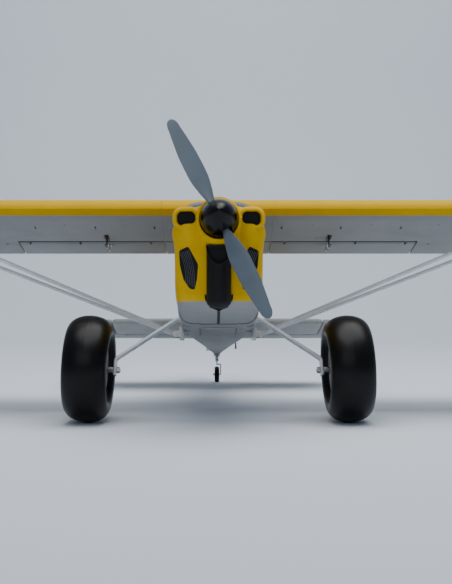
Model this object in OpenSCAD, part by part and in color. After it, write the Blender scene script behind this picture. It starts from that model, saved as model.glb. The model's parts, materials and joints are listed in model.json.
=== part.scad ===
// Radio controlled foam bush plane: strut-braced high wing, tailwheel gear with balloon tyres, electric motor.
// Millimetres. Every piece is drawn in the plane frame, whose origin is the propeller hub: +X is the pilot's
// left, +Y runs aft along the thrust line and +Z is up. stance() then sets the plane down on its three wheels.

/* [Wing] */
// Wing span, tip to tip
wing_span = 2150; // [1800:10:2600]
// Wing chord
wing_chord = 335; // [290:5:380]
// Greatest thickness of the wing section
wing_thickness = 42; // [38:1:50]
// Leading edge, aft of the propeller
wing_y = 283; // [270:1:310]
// Flat underside of the wing, above the thrust line
wing_z = 77; // [74:1:84]
// Rise of the leading edge above the flat underside
nose_rise = 13; // [8:1:16]
// Half the width of the centre section that is moulded on the cabin
center_half = 108; // [95:1:125]
// Flap and aileron break, from the middle
flap_end = 410; // [340:5:480]
// Outer end of the aileron, from the middle
aileron_end = 1000; // [700:5:1200]
// Flap and aileron hinge line, share of the chord
wing_hinge = 0.72; // [0.70:0.01:0.76]
// Outside diameter of the carbon wing tube
tube_d = 18; // [12:1:20]

/* [Fuselage] */
// Width of the cabin
cabin_w = 153; // [140:1:175]
// Cowl seam on the thrust line, aft of the propeller
seam_y = 192; // [180:1:200]
// Belly at the seam, below the thrust line
belly_z = 142; // [136:1:155]
// Top deck at the seam, above the thrust line
deck_z = 55; // [50:1:60]
// Tail post, aft of the propeller
tail_y = 1186; // [1080:2:1400]
// Width of the tail post
tail_w = 35; // [30:1:42]
// Foot of the tail post, below the thrust line
tail_foot_z = 57; // [50:1:66]
// Foam wall
foam_wall = 6; // [4:0.5:9]
// Cowl wall
cowl_wall = 3; // [2:0.5:5]

/* [Propeller] */
// Propeller diameter
prop_d = 381; // [300:1:430]
// Propeller pitch
prop_pitch = 152; // [100:1:220]
// Greatest blade width
blade_w = 35; // [24:1:38]
// Spinner diameter
spinner_d = 64; // [56:1:68]
// Spinner length
spinner_len = 66; // [50:1:80]
// Turn of the parked propeller from upright, degrees
prop_park = 26; // [0:1:90]

/* [Undercarriage] */
// Tyre diameter
tyre_d = 196; // [150:1:230]
// Tyre width
tyre_w = 84; // [60:1:100]
// Wheel hub diameter
hub_d = 104; // [90:1:112]
// Wheel centre, from the middle
track_half = 238; // [215:1:270]
// Axle, aft of the propeller
axle_y = 264; // [250:1:276]
// Axle, below the thrust line
axle_z = 218.5; // [205:0.5:235]
// Lean of the wheels, tops inward, degrees
camber = 3; // [0:0.5:5]
// Toe-out of the wheels, degrees
toe = 2; // [0:0.5:3]
// Width of the flat bar gear leg
leg_w = 26; // [20:1:32]
// Thickness of the gear leg
leg_t = 5; // [3:0.5:6]
// Tailwheel diameter
tail_wheel_d = 40; // [32:1:50]

/* [Tail] */
// Span of the tailplane
stab_span = 600; // [520:10:700]
// Root chord of tailplane and elevator together
stab_chord = 262; // [230:2:280]
// Share of the root chord that is elevator
elevator_share = 0.31; // [0.28:0.01:0.36]
// Thickness of the tail surfaces
tail_t = 12; // [9:0.5:14]
// Tailplane, below the thrust line
stab_z = 16; // [12:1:20]
// Fin top above the thrust line
fin_top = 190; // [150:2:230]
// Rudder chord at its widest
rudder_chord = 150; // [120:2:180]

/* [Fits] */
// Gap between pieces that meet without moving
seat = 0.3; // [0.2:0.05:0.5]
// Gap round moving control surfaces
swing = 1.2; // [0.8:0.1:2]
// Radial clearance of a pin or shaft that turns in its hole
run = 0.08; // [0.05:0.01:0.1]

/* [Hidden] */
$fn = 48;
eps = 0.01;
far = 400;              // longer than any cut through one piece
left = 1;
right = -1;

// Stance: the line under both wheels sets how far the nose points up
tyre_round = tyre_d / 2 - tyre_w / 2;
tail_axle_y = tail_y + 24;
tail_axle_z = tail_foot_z + 48.5;
main_low = tyre_round * cos(camber) + tyre_w / 2;
wheelbase = tail_axle_y - axle_y;
drop = axle_z - tail_axle_z;
nose_up = asin((main_low - tail_wheel_d / 2) / norm([wheelbase, drop])) + atan2(drop, wheelbase);
hub_height = main_low + axle_y * sin(nose_up) + axle_z * cos(nose_up);

// Tail layout
post_gap = tail_t / 2 + swing;
rudder_y = tail_y + post_gap;
rudder_foot_z = -tail_foot_z + 7;
rudder_shape = [
  [0, rudder_foot_z], [0, fin_top - 4], [12, fin_top], [86, fin_top - 3], [112, fin_top - 18],
  [rudder_chord * 0.93, 60], [rudder_chord, 10], [rudder_chord * 0.97, -20], [104, rudder_foot_z],
];
aft_most = max([for (p = rudder_shape) (rudder_y + p.x) * cos(nose_up) + p.y * sin(nose_up)]);
spin_tip_y = 6 - spinner_len;
middle_y = (aft_most + spin_tip_y * cos(nose_up)) / 2;

module stance() {
  translate([0, -middle_y, hub_height])
    rotate([-nose_up, 0, 0])
      children();
}

module side(s) {
  if (s == left) children();
  else mirror([1, 0, 0]) children();
}

module both() {
  children();
  mirror([1, 0, 0]) children();
}

module box(low, high) {
  translate(low) cube(high - low);
}

module pin_x(p, r, x0, x1) {
  translate([x0, p.y, p.z]) rotate([0, 90, 0]) cylinder(r = r, h = x1 - x0);
}

module pin_y(p, r, y0, y1) {
  translate([p.x, y0, p.z]) rotate([-90, 0, 0]) cylinder(r = r, h = y1 - y0);
}

module pin_z(p, r, z0, z1) {
  translate([p.x, p.y, z0]) cylinder(r = r, h = z1 - z0);
}

// A side outline drawn as [y, z], made x0 to x1 wide
module side_plate(outline, x0, x1) {
  translate([x0, 0, 0])
    rotate([90, 0, 90])
      linear_extrude(height = x1 - x0)
        polygon(outline);
}

// A front outline drawn as [x, z], made y0 to y1 long
module front_plate(outline, y0, y1) {
  translate([0, y1, 0])
    rotate([90, 0, 0])
      linear_extrude(height = y1 - y0)
        polygon(outline);
}

// A plan outline drawn as [x, y], z0 to z1 high
module plan_plate(outline, z0, z1) {
  translate([0, 0, z0])
    linear_extrude(height = z1 - z0)
      polygon(outline);
}

// Outline of a strip of the given thickness along a line of points
function unit(v) = v / norm(v);
function left_of(v) = [-v.y, v.x];
function bend(p, i) =
  i == 0 ? left_of(unit(p[1] - p[0])) :
  i == len(p) - 1 ? left_of(unit(p[i] - p[i - 1])) :
  let (a = left_of(unit(p[i] - p[i - 1])), b = left_of(unit(p[i + 1] - p[i])), m = unit(a + b))
    m / (m * a);
function strip(p, t) = concat(
  [for (i = [0 : len(p) - 1]) p[i] + bend(p, i) * t / 2],
  [for (i = [len(p) - 1 : -1 : 0]) p[i] - bend(p, i) * t / 2]
);

// Body sections: [y, half width, bottom, top, squareness, lean]
around = 24;
function rounded(a, power) = sign(a) * pow(abs(a), 2 / power);
function ring(s, off) = [
  for (i = [0 : around - 1])
    let (
      turn = 360 * (i + 0.5) / around,
      half = (s[3] - s[2]) / 2 - off,
      z = (s[3] + s[2]) / 2 + half * rounded(sin(turn), s[4]),
      x = (s[1] - off) * rounded(cos(turn), s[4])
    )
      [x, s[0] - s[5] * z, z]
];

module loft(rings) {
  n = len(rings[0]);
  last = len(rings) - 1;
  walls = [
    for (k = [0 : last - 1], i = [0 : n - 1])
      let (a = k * n + i, b = k * n + (i + 1) % n, c = b + n, d = a + n)
        each [[a, b, c], [a, c, d]]
  ];
  front = [for (i = [n - 1 : -1 : 0]) i];
  back = [for (i = [0 : n - 1]) last * n + i];
  polyhedron(points = [for (r = rings) each r], faces = concat(walls, [front, back]), convexity = 8);
}

module body_loft(stations, off = 0) {
  loft([for (s = stations) ring(s, off)]);
}

// Fuselage sections
lean = 0.22;            // the cowl seam slopes aft toward the belly
nose_lean = 0.24;       // and so does the front face
front_y = 20;
roof_z = wing_z + 23;
roof_y = wing_y - 7;
wing_end_y = wing_y + wing_chord;
boom_y = wing_end_y + 20;
cabin_half = cabin_w / 2;
nose_half = cabin_half - 3.5;
function mix(a, b, t) = a + (b - a) * t;
function boom(t) = [
  mix(boom_y, tail_y, t), mix(cabin_half - 12, tail_w / 2, t), -mix(belly_z - 33, tail_foot_z, t),
  mix(wing_z + 1, 10, t), mix(4, 2.8, t), 0
];
cabin_stations = [
  [seam_y, nose_half, -belly_z, deck_z, 3.8, lean],
  [seam_y + 50, cabin_half, -belly_z + 1, mix(deck_z, roof_z, 0.54), 4.2, lean / 2],
  [roof_y, cabin_half, -belly_z + 4, roof_z, 5, 0],
  [roof_y + 146, cabin_half, -belly_z + 13, roof_z, 5, 0],
  [wing_end_y - 60, cabin_half - 6, -belly_z + 26, roof_z - 5, 4.6, 0],
];
body_stations = concat(cabin_stations, [for (t = [0, 0.3, 0.6, 0.85, 1]) boom(t)]);
ceiling_z = wing_z - 5;
function boom_half_at(y) = mix(cabin_half - 12, tail_w / 2, (y - boom_y) / (tail_y - boom_y));
function hollow(s) = [s[0], s[1] - foam_wall, s[2] + foam_wall, min(s[3] - foam_wall, ceiling_z), s[4],
    s[5]];
cavity_stations = concat(
  [[seam_y - 14, nose_half - foam_wall, -belly_z + foam_wall, deck_z - foam_wall, 3.8, lean]],
  [for (s = cabin_stations) hollow(s)],
  [for (t = [0, 0.3, 0.6, 0.76]) hollow(boom(t))]
);
function belly_at(y) = -belly_z + 4 + (y - roof_y) * 9 / 146;

// Cowl sections
cowl_stations = [
  [front_y, nose_half - 9, -belly_z + 21, 26, 3, nose_lean],
  [front_y + 6, nose_half - 3, -belly_z + 13, 32, 3.2, nose_lean],
  [front_y + 20, nose_half + 2, -belly_z + 7, 38, 3.4, nose_lean],
  [front_y + 70, nose_half + 3, -belly_z + 3, 46, 3.6, nose_lean],
  [seam_y - seat, nose_half, -belly_z, deck_z, 3.8, lean],
];
function inner(s, aft) = [s[0] + aft, s[1] - cowl_wall, s[2] + cowl_wall, s[3] - cowl_wall, s[4], s[5]];
cowl_end = cowl_stations[len(cowl_stations) - 1];
cowl_hollow = concat([for (i = [0 : 4]) inner(cowl_stations[i], i == 0 ? cowl_wall : 0)],
    [inner(cowl_end, 12)]);
face_lean = atan(nose_lean);
module on_face() {
  translate([0, front_y, 0])
    rotate([face_lean, 0, 0])
      children();
}
function rounded_box(x, z, w, h, r) = [
  for (c = [[1, 1, 0], [-1, 1, 90], [-1, -1, 180], [1, -1, 270]], i = [0 : 4])
    [x + c[0] * (w / 2 - r) + r * cos(c[2] + i * 22.5), z + c[1] * (h / 2 - r) + r * sin(c[2] + i * 22.5)]
];
inlet_x = 55;
inlet_z = 2;
inlet_w = 31;
inlet_h = 25;
spinner_gap = 2.5;
louvre_shape = [
  [64, -49], [57, -46], [50, -42], [34, -73], [36.5, -98], [40.5, -114], [47, -113], [57, -99], [62.5, -78],
];
louvre_middle = [51, -76];
function shrink(p, c, k) = [for (q = p) c + (q - c) * k];
scoop_r = 21;
scoop_wall = 2.5;
scoop_top = -46;
scoop_foot = -128;

// Wing section, in plane-frame y and z, measured from the leading edge and the flat underside
te_thick = 2;
section_thick = wing_thickness - 1.5;
function thick_at(u) =
  section_thick * (2.969 * sqrt(u) - 1.26 * u - 3.516 * u * u + 2.843 * pow(u, 3) - 1.036 * pow(u, 4));
function under_at(u) = nose_rise * pow(max(0, 1 - u / 0.14), 2);
function over_at(u) = nose_rise * pow(1 - u, 6) + thick_at(u) + te_thick * u;
upper_u = [for (i = [14 : -1 : 1]) pow(i / 14, 1.7)];
lower_u = [0.008, 0.025, 0.055, 0.095, 0.14];
function section(k = 1) = concat(
  [for (u = upper_u) [wing_y + u * wing_chord, wing_z + over_at(u)]],
  [[wing_y, wing_z + nose_rise]],
  [for (u = lower_u) [wing_y + u * wing_chord, wing_z + under_at(u)]],
  [[wing_end_y, wing_z]]
);
half_span = wing_span / 2;
tip_len = 70;
tip_x = half_span - tip_len;

// Wing hinge line
hinge_y = wing_y + wing_hinge * wing_chord;
hinge_r = over_at(wing_hinge) / 2 - 0.4;
hinge_z = wing_z + hinge_r + 0.4;
slot_gap = 4.5;          // open gap ahead of the flap
pin_r = 1.25;
lug_r = 3.2;
lug_half = 1.5;
lug_room = 0.6;

// A hinge lug that points aft from the fixed surface, its pin hole on the hinge line at [y, z]
module lug(x, y, z, reach) {
  difference() {
    union() {
      pin_x([0, y, z], lug_r, x - lug_half, x + lug_half);
      box([x - lug_half, y - reach, z - lug_r], [x + lug_half, y, z + lug_r]);
    }
    pin_x([0, y, z], pin_r + run, x - lug_half - 1, x + lug_half + 1);
  }
}
module lug_slot(x, y, z, r) {
  box([x - lug_half - lug_room, y - r - 2, z - r - 2],
      [x + lug_half + lug_room, y + lug_r + 1.5, z + r + 2]);
}

// A moving trailing edge from x0 to x1, round-nosed on the hinge line, with pins at each lug
module trailing_edge(x0, x1, lugs) {
  difference() {
    union() {
      pin_x([0, hinge_y, hinge_z], hinge_r, x0, x1);
      intersection() {
        side_plate(section(), x0, x1);
        box([x0 - 1, hinge_y, wing_z - 5], [x1 + 1, wing_end_y + 5, wing_z + wing_thickness]);
      }
    }
    for (x = lugs) lug_slot(x, hinge_y, hinge_z, hinge_r);
  }
  for (x = lugs) pin_x([0, hinge_y, hinge_z], pin_r, x - lug_half - 6, x + lug_half + 6);
}

// The room that a trailing edge needs in the wing
module trailing_room(x0, x1, gap) {
  pin_x([0, hinge_y, hinge_z], hinge_r + gap, x0, x1);
  box([x0, hinge_y, wing_z - 20], [x1, wing_end_y + 20, wing_z + 60]);
}
flap_lugs = [center_half + 30, (center_half + flap_end) / 2 + 25, flap_end - 22];
aileron_lugs = [flap_end + 26, (flap_end + aileron_end) / 2 - 40, aileron_end - 26];
joint_gap = 0.8;        // between the ends of neighbouring surfaces

// Wing linkage: servo arm, rod and horn stay a parallelogram, so all three turn alike
link_r = 24;
flap_link_x = 225;
aileron_link_x = 690;
servo_y = wing_y + 0.55 * wing_chord;
servo_z = wing_z + 9;
arm_t = 2;
wire_r = 1;
horn_t = 2;
servo_l = 23;
servo_w = 12;
servo_h = 25;
link_sites = [[flap_link_x, 30], [aileron_link_x, 20]];

module servo_room(x) {
  box([x - 4 - servo_h - seat, servo_y - 6 - seat, wing_z - 1],
      [x - 4 + seat, servo_y + servo_l - 6 + seat, servo_z + servo_w / 2 + seat]);
  box([x - 4, servo_y - link_r, wing_z - 1], [x + 5, servo_y + link_r + 1, servo_z + 7]);
}
module horn_room(x) {
  box([x - 3, hinge_y - link_r - 4, wing_z - 1], [x + 3, hinge_y + 1, hinge_z + hinge_r - 4]);
}
module wing_servo(x) {
  box([x - 4 - servo_h, servo_y - 6, servo_z - servo_w / 2],
      [x - 4, servo_y + servo_l - 6, servo_z + servo_w / 2]);
  pin_x([0, servo_y, servo_z], 2.4, x - 4, x - arm_t / 2 - 0.2);
}
// Servo arm pointing down from its shaft at [y, z]
module arm(x, y, z) {
  difference() {
    union() {
      pin_x([0, y, z], 4, x - arm_t / 2, x + arm_t / 2);
      side_plate([[y - 3.6, z], [y + 3.6, z], [y + 2.4, z - link_r],
          [y - 2.4, z - link_r]], x - arm_t / 2, x + arm_t / 2);
      pin_x([0, y, z - link_r], 2.4, x - arm_t / 2, x + arm_t / 2);
    }
    pin_x([0, y, z - link_r], wire_r + run, x - 5, x + 5);
  }
}
// Rod from [y0, z0] to [y1, z1] beside the arm, its bent ends passing through arm and horn
module rod(x, y0, z0, y1, z1) {
  beside = x + arm_t / 2 + wire_r + 0.6;
  union() {
    pin_x([0, y0, z0], wire_r, x - arm_t / 2 - 1.2, beside);
    pin_x([0, y1, z1], wire_r, x - horn_t / 2 - 1.2, beside);
    side_plate(strip([[y0 - 0.9, z0 - 0.9 * (z1 - z0) / (y1 - y0)],
        [y1 + 0.9, z1 + 0.9 * (z1 - z0) / (y1 - y0)]], 2 * wire_r),
      beside - wire_r, beside + wire_r);
  }
}

// Lift struts: both start at one fitting on the cabin and end under the wing
strut_in = [cabin_half + 7.2, 474, -belly_z + 21];
strut_front_out = [580, wing_y + 41, wing_z - 8];
strut_rear_out = [580, wing_y + 189, wing_z - 8];
strut_step = 8;          // the two lower ends sit this far fore and aft of the fitting's middle
strut_front_in = strut_in - [0, strut_step, 0];
strut_rear_in = strut_in + [0, strut_step, 0];
eye_r = 6;
eye_t = 4;
bolt_r = 1.5;

module strut(a, b) {
  run_of = b - a;
  reach = norm(run_of);
  difference() {
    union() {
      translate(a)
        rotate([0, acos(run_of.z / reach), atan2(run_of.y, run_of.x)])
          translate([0, 0, 9])
            linear_extrude(height = reach - 18)
              polygon([for (i = [0 : 19]) [3.5 * cos(18 * i), 8 * sin(18 * i)]]);
      for (p = [a, b]) {
        toward = p == a ? unit(run_of) : -unit(run_of);
        pin_y(p, eye_r, p.y - eye_t / 2, p.y + eye_t / 2);
        front_plate(strip([[p.x, p.z], [p.x + toward.x * 16, p.z + toward.z * 16]], 6),
            p.y - eye_t / 2, p.y + eye_t / 2);
      }
    }
    for (p = [a, b]) pin_y(p, bolt_r + seat / 2, p.y - 10, p.y + 10);
  }
}
// Two ears either side of an eye, on a foot that runs from the pin toward [dx, dz]
ear_t = 1.6;
module ears(p, foot) {
  for (s = [-1, 1]) {
    y0 = p.y + s * (eye_t / 2 + seat + ear_t / 2);
    difference() {
      union() {
        pin_y(p, eye_r, y0 - ear_t / 2, y0 + ear_t / 2);
        front_plate(foot, y0 - ear_t / 2, y0 + ear_t / 2);
      }
      pin_y(p, bolt_r + seat / 2, p.y - 12, p.y + 12);
    }
  }
}

// Gear leg line, from inside the belly down to the axle
leg_root = [22, -belly_z + 15];
leg_bend = [cabin_half + 0.5, -belly_z + 15];
stub_x = track_half - tyre_w / 2 - 6;
leg_knee = [stub_x - sin(camber) * 26, -axle_z + 18];
leg_end = [stub_x + sin(camber) * 12, -axle_z - 12];
leg_line = [leg_root, leg_bend, leg_knee, leg_end];
module at_wheel() {
  translate([track_half, axle_y, -axle_z])
    rotate([0, -camber, toe])
      children();
}
axle_r = 3;
bead_r = hub_d / 2 - 3;

// Tail layout
stab_y = tail_y - 269;
stab_thick = tail_t;
stab_half = stab_span / 2;
elev_y = stab_y + stab_chord * (1 - elevator_share);
balance_x = stab_half - 51;
tail_center_z = -stab_z;
nose_r = tail_t / 2;
elev_gap = nose_r + swing;
elev_root_x = boom_half_at(elev_y - nose_r) + 7;
elev_te = elev_y + stab_chord * elevator_share;
elev_link_x = elev_root_x + 11;
tail_servo_y = stab_y + 68;
tail_link_r = link_r;
elev_servo_z = tail_center_z - 32;
joiner_r = 2;
elev_lugs = [elev_root_x + 40, balance_x - 24];
rudder_arm_z = tail_center_z - 29;
rudder_servo_x = 14.7 - boom_half_at(tail_servo_y);
rudder_r = tail_w / 2 + 6.5;
fin_lugs_z = [36, fin_top - 42];
wheel_wire_r = 1.5;

// Shared outlines
window_front = [[302, 12], [296, 62], [366, 66], [366, 12]];
window_rear = [[384, 12], [384, 66], [452, 66], [468, 40], [458, 12]];
screen_low = [seam_y + 4, deck_z + 5];
screen_high = [roof_y - 8, roof_z - 8];
hatch_y0 = 300;
hatch_y1 = 446;
hatch_half = 34;
hatch_hinge_z = belly_at(hatch_y0) - 1;
hatch_gap = 1.2;
hatch_pin_r = 1.6;
hatch_front_gap = hatch_pin_r + 1;
tray_z = -66;
float_points = [[60, 286], [60, 379]];
socket_r = 7;
socket_h = 12;
thread_r = 1.25;
cowl_screws = [[38, seam_y - lean * -belly_z - 9]];
bulkhead_y = seam_y + 46;
bulkhead_t = 5;
motor_r = 25;
bell_y0 = 15;
bell_y1 = 54;
stator_y1 = 62;
mount_y0 = 66;
shaft_r = 4;
post_x = 17;
tube_y = wing_y + 0.3 * wing_chord;
tube_z = wing_z + 20;
tube_reach = 430;
tail_servo_h = 22;
elev_servo_x = elev_link_x - 5;
hold_y = 474;

module screen_block(grow) {
  side_plate([
    screen_low + [-grow, -20], screen_low + [-grow, 40], screen_high + [grow, 40], screen_high + [grow, -30],
  ], -58 - grow, 58 + grow);
}
module window_blocks(grow) {
  for (w = [window_front, window_rear])
    let (c = [for (k = [0, 1]) [for (p = w) p[k]] * [for (p = w) 1] / len(w)])
      side_plate([for (p = w) p + grow * [sign(p.x - c.x), sign(p.y - c.y)]], cabin_half - 12,
          cabin_half + 12);
}
module skin(from, to) {
  difference() {
    body_loft(body_stations, from);
    body_loft([for (s = body_stations) s], to);
  }
}
module stab_outline(grow) {
  plan_plate([
    [-70, stab_y - grow], [70, stab_y - grow], [70, elev_y - elev_gap + grow],
        [-70, elev_y - elev_gap + grow],
  ], tail_center_z - nose_r - grow, tail_center_z + nose_r + grow);
}

module fuselage_shell() color("#e9b90f") stance() {
  difference() {
    union() {
      body_loft(body_stations);
      body_loft([
        [seam_y - 9, nose_half - cowl_wall - 2 * seat, -belly_z + cowl_wall + 4 * seat,
            deck_z - cowl_wall - 6 * seat, 3.8, lean],
        [seam_y + 4, nose_half - cowl_wall - seat, -belly_z + cowl_wall + seat,
            deck_z - cowl_wall - seat, 3.8, lean],
      ]);
      side_plate(section(), -center_half, center_half);
    }
    body_loft(cavity_stations);
    side_plate([
      [hatch_y0 - hatch_front_gap, -belly_z - 20], [hatch_y1 + hatch_gap, -belly_z - 20],
      [hatch_y1 + hatch_gap, -belly_z + 30], [hatch_y0 - hatch_front_gap, -belly_z + 30],
    ], -hatch_half - hatch_gap, hatch_half + hatch_gap);
    screen_block(seat);
    both() window_blocks(seat);
    pin_x([0, tube_y, tube_z], tube_d / 2 + run, -far, far);
    stab_outline(seat);
    pin_x([0, elev_y, tail_center_z], joiner_r + run, -far, far);
    both() leg_slot();
    both() {
      for (p = float_points) pin_z([p.x, p.y, 0], socket_r + seat, -belly_z - 10,
          belly_at(p.y) + socket_h + seat);
    }
    both() fitting_block(seat);
    tail_servo_rooms();
    rudder_room();
    box([-tail_t / 2 - seat, tail_y - 286, 0], [tail_t / 2 + seat, tail_y + 5, 60]);
    box([-8 - seat, tail_y - 74 - seat, -tail_foot_z - 30], [8 + seat, tail_y + 9, -tail_foot_z + 2]);
    for (p = cowl_screw_spots) screw_hole(p);
  }
}

// A slot through each side for the gear leg and a seat for its root
module leg_slot() {
  box([leg_root.x - 3, axle_y - leg_w / 2 - seat, leg_root.y - leg_t / 2 - seat],
      [cabin_half + 10, axle_y + leg_w / 2 + seat, leg_root.y + leg_t / 2 + seat]);
}
module rudder_room() {
  pin_z([0, rudder_y, 0], nose_r + swing, -far, far);
  box([-30, rudder_y, -far], [30, rudder_y + 200, far]);
  intersection() {
    pin_z([0, rudder_y, 0], rudder_r + 7, rudder_arm_z - 3, rudder_arm_z + 6);
    box([-rudder_r - 20, rudder_y - 60, rudder_arm_z - 5], [-nose_r / 5, rudder_y + 60, rudder_arm_z + 10]);
  }
}
module tail_servo_rooms() {
  box([elev_link_x - 5 - tail_servo_h - seat, tail_servo_y - 6 - seat,
      elev_servo_z - servo_w / 2 - seat], [elev_link_x + 20, tail_servo_y + servo_l - 6 + seat,
      elev_servo_z + servo_w / 2 + seat]);
  box([rudder_servo_x - servo_w / 2 - seat, tail_servo_y - 6 - seat,
      rudder_arm_z - 3 - tail_servo_h - seat],
      [rudder_servo_x + servo_w / 2 + seat, tail_servo_y + servo_l - 6 + seat, rudder_arm_z - 3 + seat]);
  box([-70, tail_servo_y - 17, rudder_arm_z - 3], [rudder_servo_x + 7, tail_servo_y + 17, rudder_arm_z + 6]);
}
// Seat for the strut fitting's plate on the cabin side
module fitting_block(grow) {
  box([cabin_half - 9 - grow, hold_y - 20 - grow, strut_in.z - 9 - grow],
      [cabin_half + 0.6 + grow, hold_y + 20 + grow, strut_in.z + 13 + grow]);
}
cowl_screw_spots = [[38, -1], [-38, -1]];
cowl_screw_y = seam_y + lean * belly_z - 6;
module screw_hole(p) {
  pin_z([p.x, cowl_screw_y, 0], 1.4 + seat / 2, -belly_z - 5, -belly_z + 10);
}

module engine_cowl() color("#e0ac0c") stance() {
  difference() {
    body_loft(cowl_stations);
    body_loft(cowl_hollow);
    pin_y([0, 0, 0], spinner_d / 2 + spinner_gap, -far, front_y + 30);
    both() front_plate(rounded_box(inlet_x, inlet_z, inlet_w, inlet_h, 9), -far, front_y + 30);
    both() on_face() front_plate(shrink(louvre_shape, louvre_middle, 1), -20, 26);
    on_face() front_plate([[-14, -68], [14, -68], [14, -108], [-14, -108]], -20, 10);
    for (p = cowl_screw_spots) screw_hole(p);
  }
}

module chin_scoop() color("#1b1b1f") stance() on_face() {
  difference() {
    union() {
      pin_z([0, 0, 0], scoop_r, scoop_foot, scoop_top);
      translate([0, 0, scoop_foot]) sphere(r = scoop_r);
    }
    box([-far, -seat, -far], [far, far, far]);
    pin_z([0, 0, 0], scoop_r - scoop_wall, scoop_foot + 4, 0);
    side_plate([[-scoop_r - 5, scoop_top - 24], [-scoop_r - 5, scoop_top + 10], [1, scoop_top + 10],
        [1, scoop_top - 2]], -far, far);
    box([-far, -far, -far], [far, far, -belly_z - 3]);
  }
}

module louvre_slots() {
  on_face()
    for (x = [37 : 5 : 57])
      front_plate([[x, -112], [x + 2.2, -112], [x + 5.4, -86], [x + 7, -56], [x + 4.8, -56],
          [x + 3.2, -86]], -30, 40);
}
module cowl_louvres() color("#17171a") stance() both() {
  difference() {
    intersection() {
      difference() {
        body_loft(cowl_stations, 0.2);
        body_loft([for (i = [0 : 4]) let (s = cowl_hollow[i]) [s[0] - (i == 0 ? 0.6 : 0), s[1], s[2],
            s[3], s[4], s[5]]], 0.2);
      }
      on_face() front_plate(shrink(louvre_shape, louvre_middle, 0.98), -18, 25);
    }
    intersection() {
      louvre_slots();
      on_face() front_plate(shrink(louvre_shape, louvre_middle, 0.8), -30, 40);
    }
  }
}

// Plywood bulkhead that carries the motor, and the tray behind it
module firewall() color("#c9a26b") stance() {
  difference() {
    union() {
      intersection() {
        body_loft(cavity_stations, seat);
        box([-far, bulkhead_y, -far], [far, bulkhead_y + bulkhead_t, ceiling_z]);
      }
      box([-cabin_half + 18, bulkhead_y + bulkhead_t - eps, tray_z], [cabin_half - 18, 470, tray_z + 4]);
    }
    for (x = [-post_x, post_x], z = [-post_x, post_x]) pin_y([x, 0, z], 1.6, 0, bulkhead_y + 20);
    pin_y([0, 0, -50], 14, 0, bulkhead_y + 20);
  }
}

module motor_mount() color("#2b2b2e") stance() {
  difference() {
    union() {
      for (x = [-post_x, post_x], z = [-post_x, post_x]) pin_y([x, 0, z], 5, mount_y0, bulkhead_y);
      box([-post_x - 6, mount_y0, -post_x - 6], [post_x + 6, mount_y0 + 4, post_x + 6]);
    }
    for (x = [-post_x, post_x], z = [-post_x, post_x]) pin_y([x, 0, z], 1.6, bulkhead_y - 14,
        bulkhead_y + 1);
    pin_y([0, 0, 0], 8, mount_y0 - 1, mount_y0 + 5);
  }
}

module motor_stator() color("#3a3b40") stance() {
  difference() {
    union() {
      pin_y([0, 0, 0], motor_r, bell_y1 + 0.8, stator_y1);
      pin_y([0, 0, 0], 14, stator_y1 - eps, mount_y0);
      pin_y([0, 0, 0], motor_r - 5, bell_y0 + 8, bell_y1 + 1);
    }
    pin_y([0, 0, 0], shaft_r + run, 0, mount_y0 + 5);
  }
}

module motor_bell() color("#8a2d25") stance() {
  difference() {
    pin_y([0, 0, 0], motor_r, bell_y0, bell_y1);
    pin_y([0, 0, 0], motor_r - 3, bell_y0 + 5, bell_y1 + 1);
    pin_y([0, 0, 0], shaft_r, 0, bell_y1);
    for (i = [0 : 5]) rotate([0, 60 * i, 0]) pin_y([14, 0, 0], 4, 0, bell_y0 + 6);
  }
}

module motor_shaft() color("#b9bcc2") stance() {
  pin_y([0, 0, 0], shaft_r, -24, mount_y0 + 2);
  difference() {
    pin_y([0, 0, 0], 11, 6, bell_y0);
    pin_y([0, 0, 0], shaft_r - 1, 0, bell_y0 + 5);
  }
  translate([0, -14, 0]) rotate([90, 0, 0]) cylinder(r = 8, h = 8, $fn = 6);
}

module speed_controller() color("#22324a") stance() {
  box([-17, 262, tray_z + 4 + seat], [17, 334, tray_z + 20]);
}

module receiver() color("#26262b") stance() {
  box([-13, 372, tray_z + 4 + seat], [13, 420, tray_z + 18]);
}

module battery_pack() color("#2a3f66") stance() {
  box([-24, 296, tray_z - 36], [24, 440, tray_z - seat]);
}

module wing_tube() color("#1c1c1f") stance() {
  difference() {
    pin_x([0, tube_y, tube_z], tube_d / 2, -tube_reach, tube_reach);
    pin_x([0, tube_y, tube_z], tube_d / 2 - 1.5, -far - 100, far + 100);
  }
}

module wing_servos() color("#26262b") stance() both() {
  for (s = link_sites) wing_servo(s[0]);
}

module tail_servos() color("#26262b") stance() {
  box([elev_link_x - 5 - tail_servo_h, tail_servo_y - 6, elev_servo_z - servo_w / 2],
      [elev_link_x - 5, tail_servo_y + servo_l - 6, elev_servo_z + servo_w / 2]);
  pin_x([0, tail_servo_y, elev_servo_z], 2.4, elev_link_x - 5 - eps, elev_link_x - arm_t / 2 - 0.2);
  box([rudder_servo_x - servo_w / 2, tail_servo_y - 6, rudder_arm_z - 3 - tail_servo_h],
      [rudder_servo_x + servo_w / 2, tail_servo_y + servo_l - 6, rudder_arm_z - 3]);
  pin_z([rudder_servo_x, tail_servo_y, 0], 2.4, rudder_arm_z - 3 - eps, rudder_arm_z - arm_t / 2 - 0.2);
}

module windshield() color("#30343a") stance() intersection() {
  difference() {
    body_loft(body_stations, 0.3);
    body_loft(body_stations, 2.3);
  }
  screen_block(0);
}

module side_windows() color("#30343a") stance() both() intersection() {
  difference() {
    body_loft(body_stations, 0.3);
    body_loft(body_stations, 2.3);
  }
  window_blocks(0);
}

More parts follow.
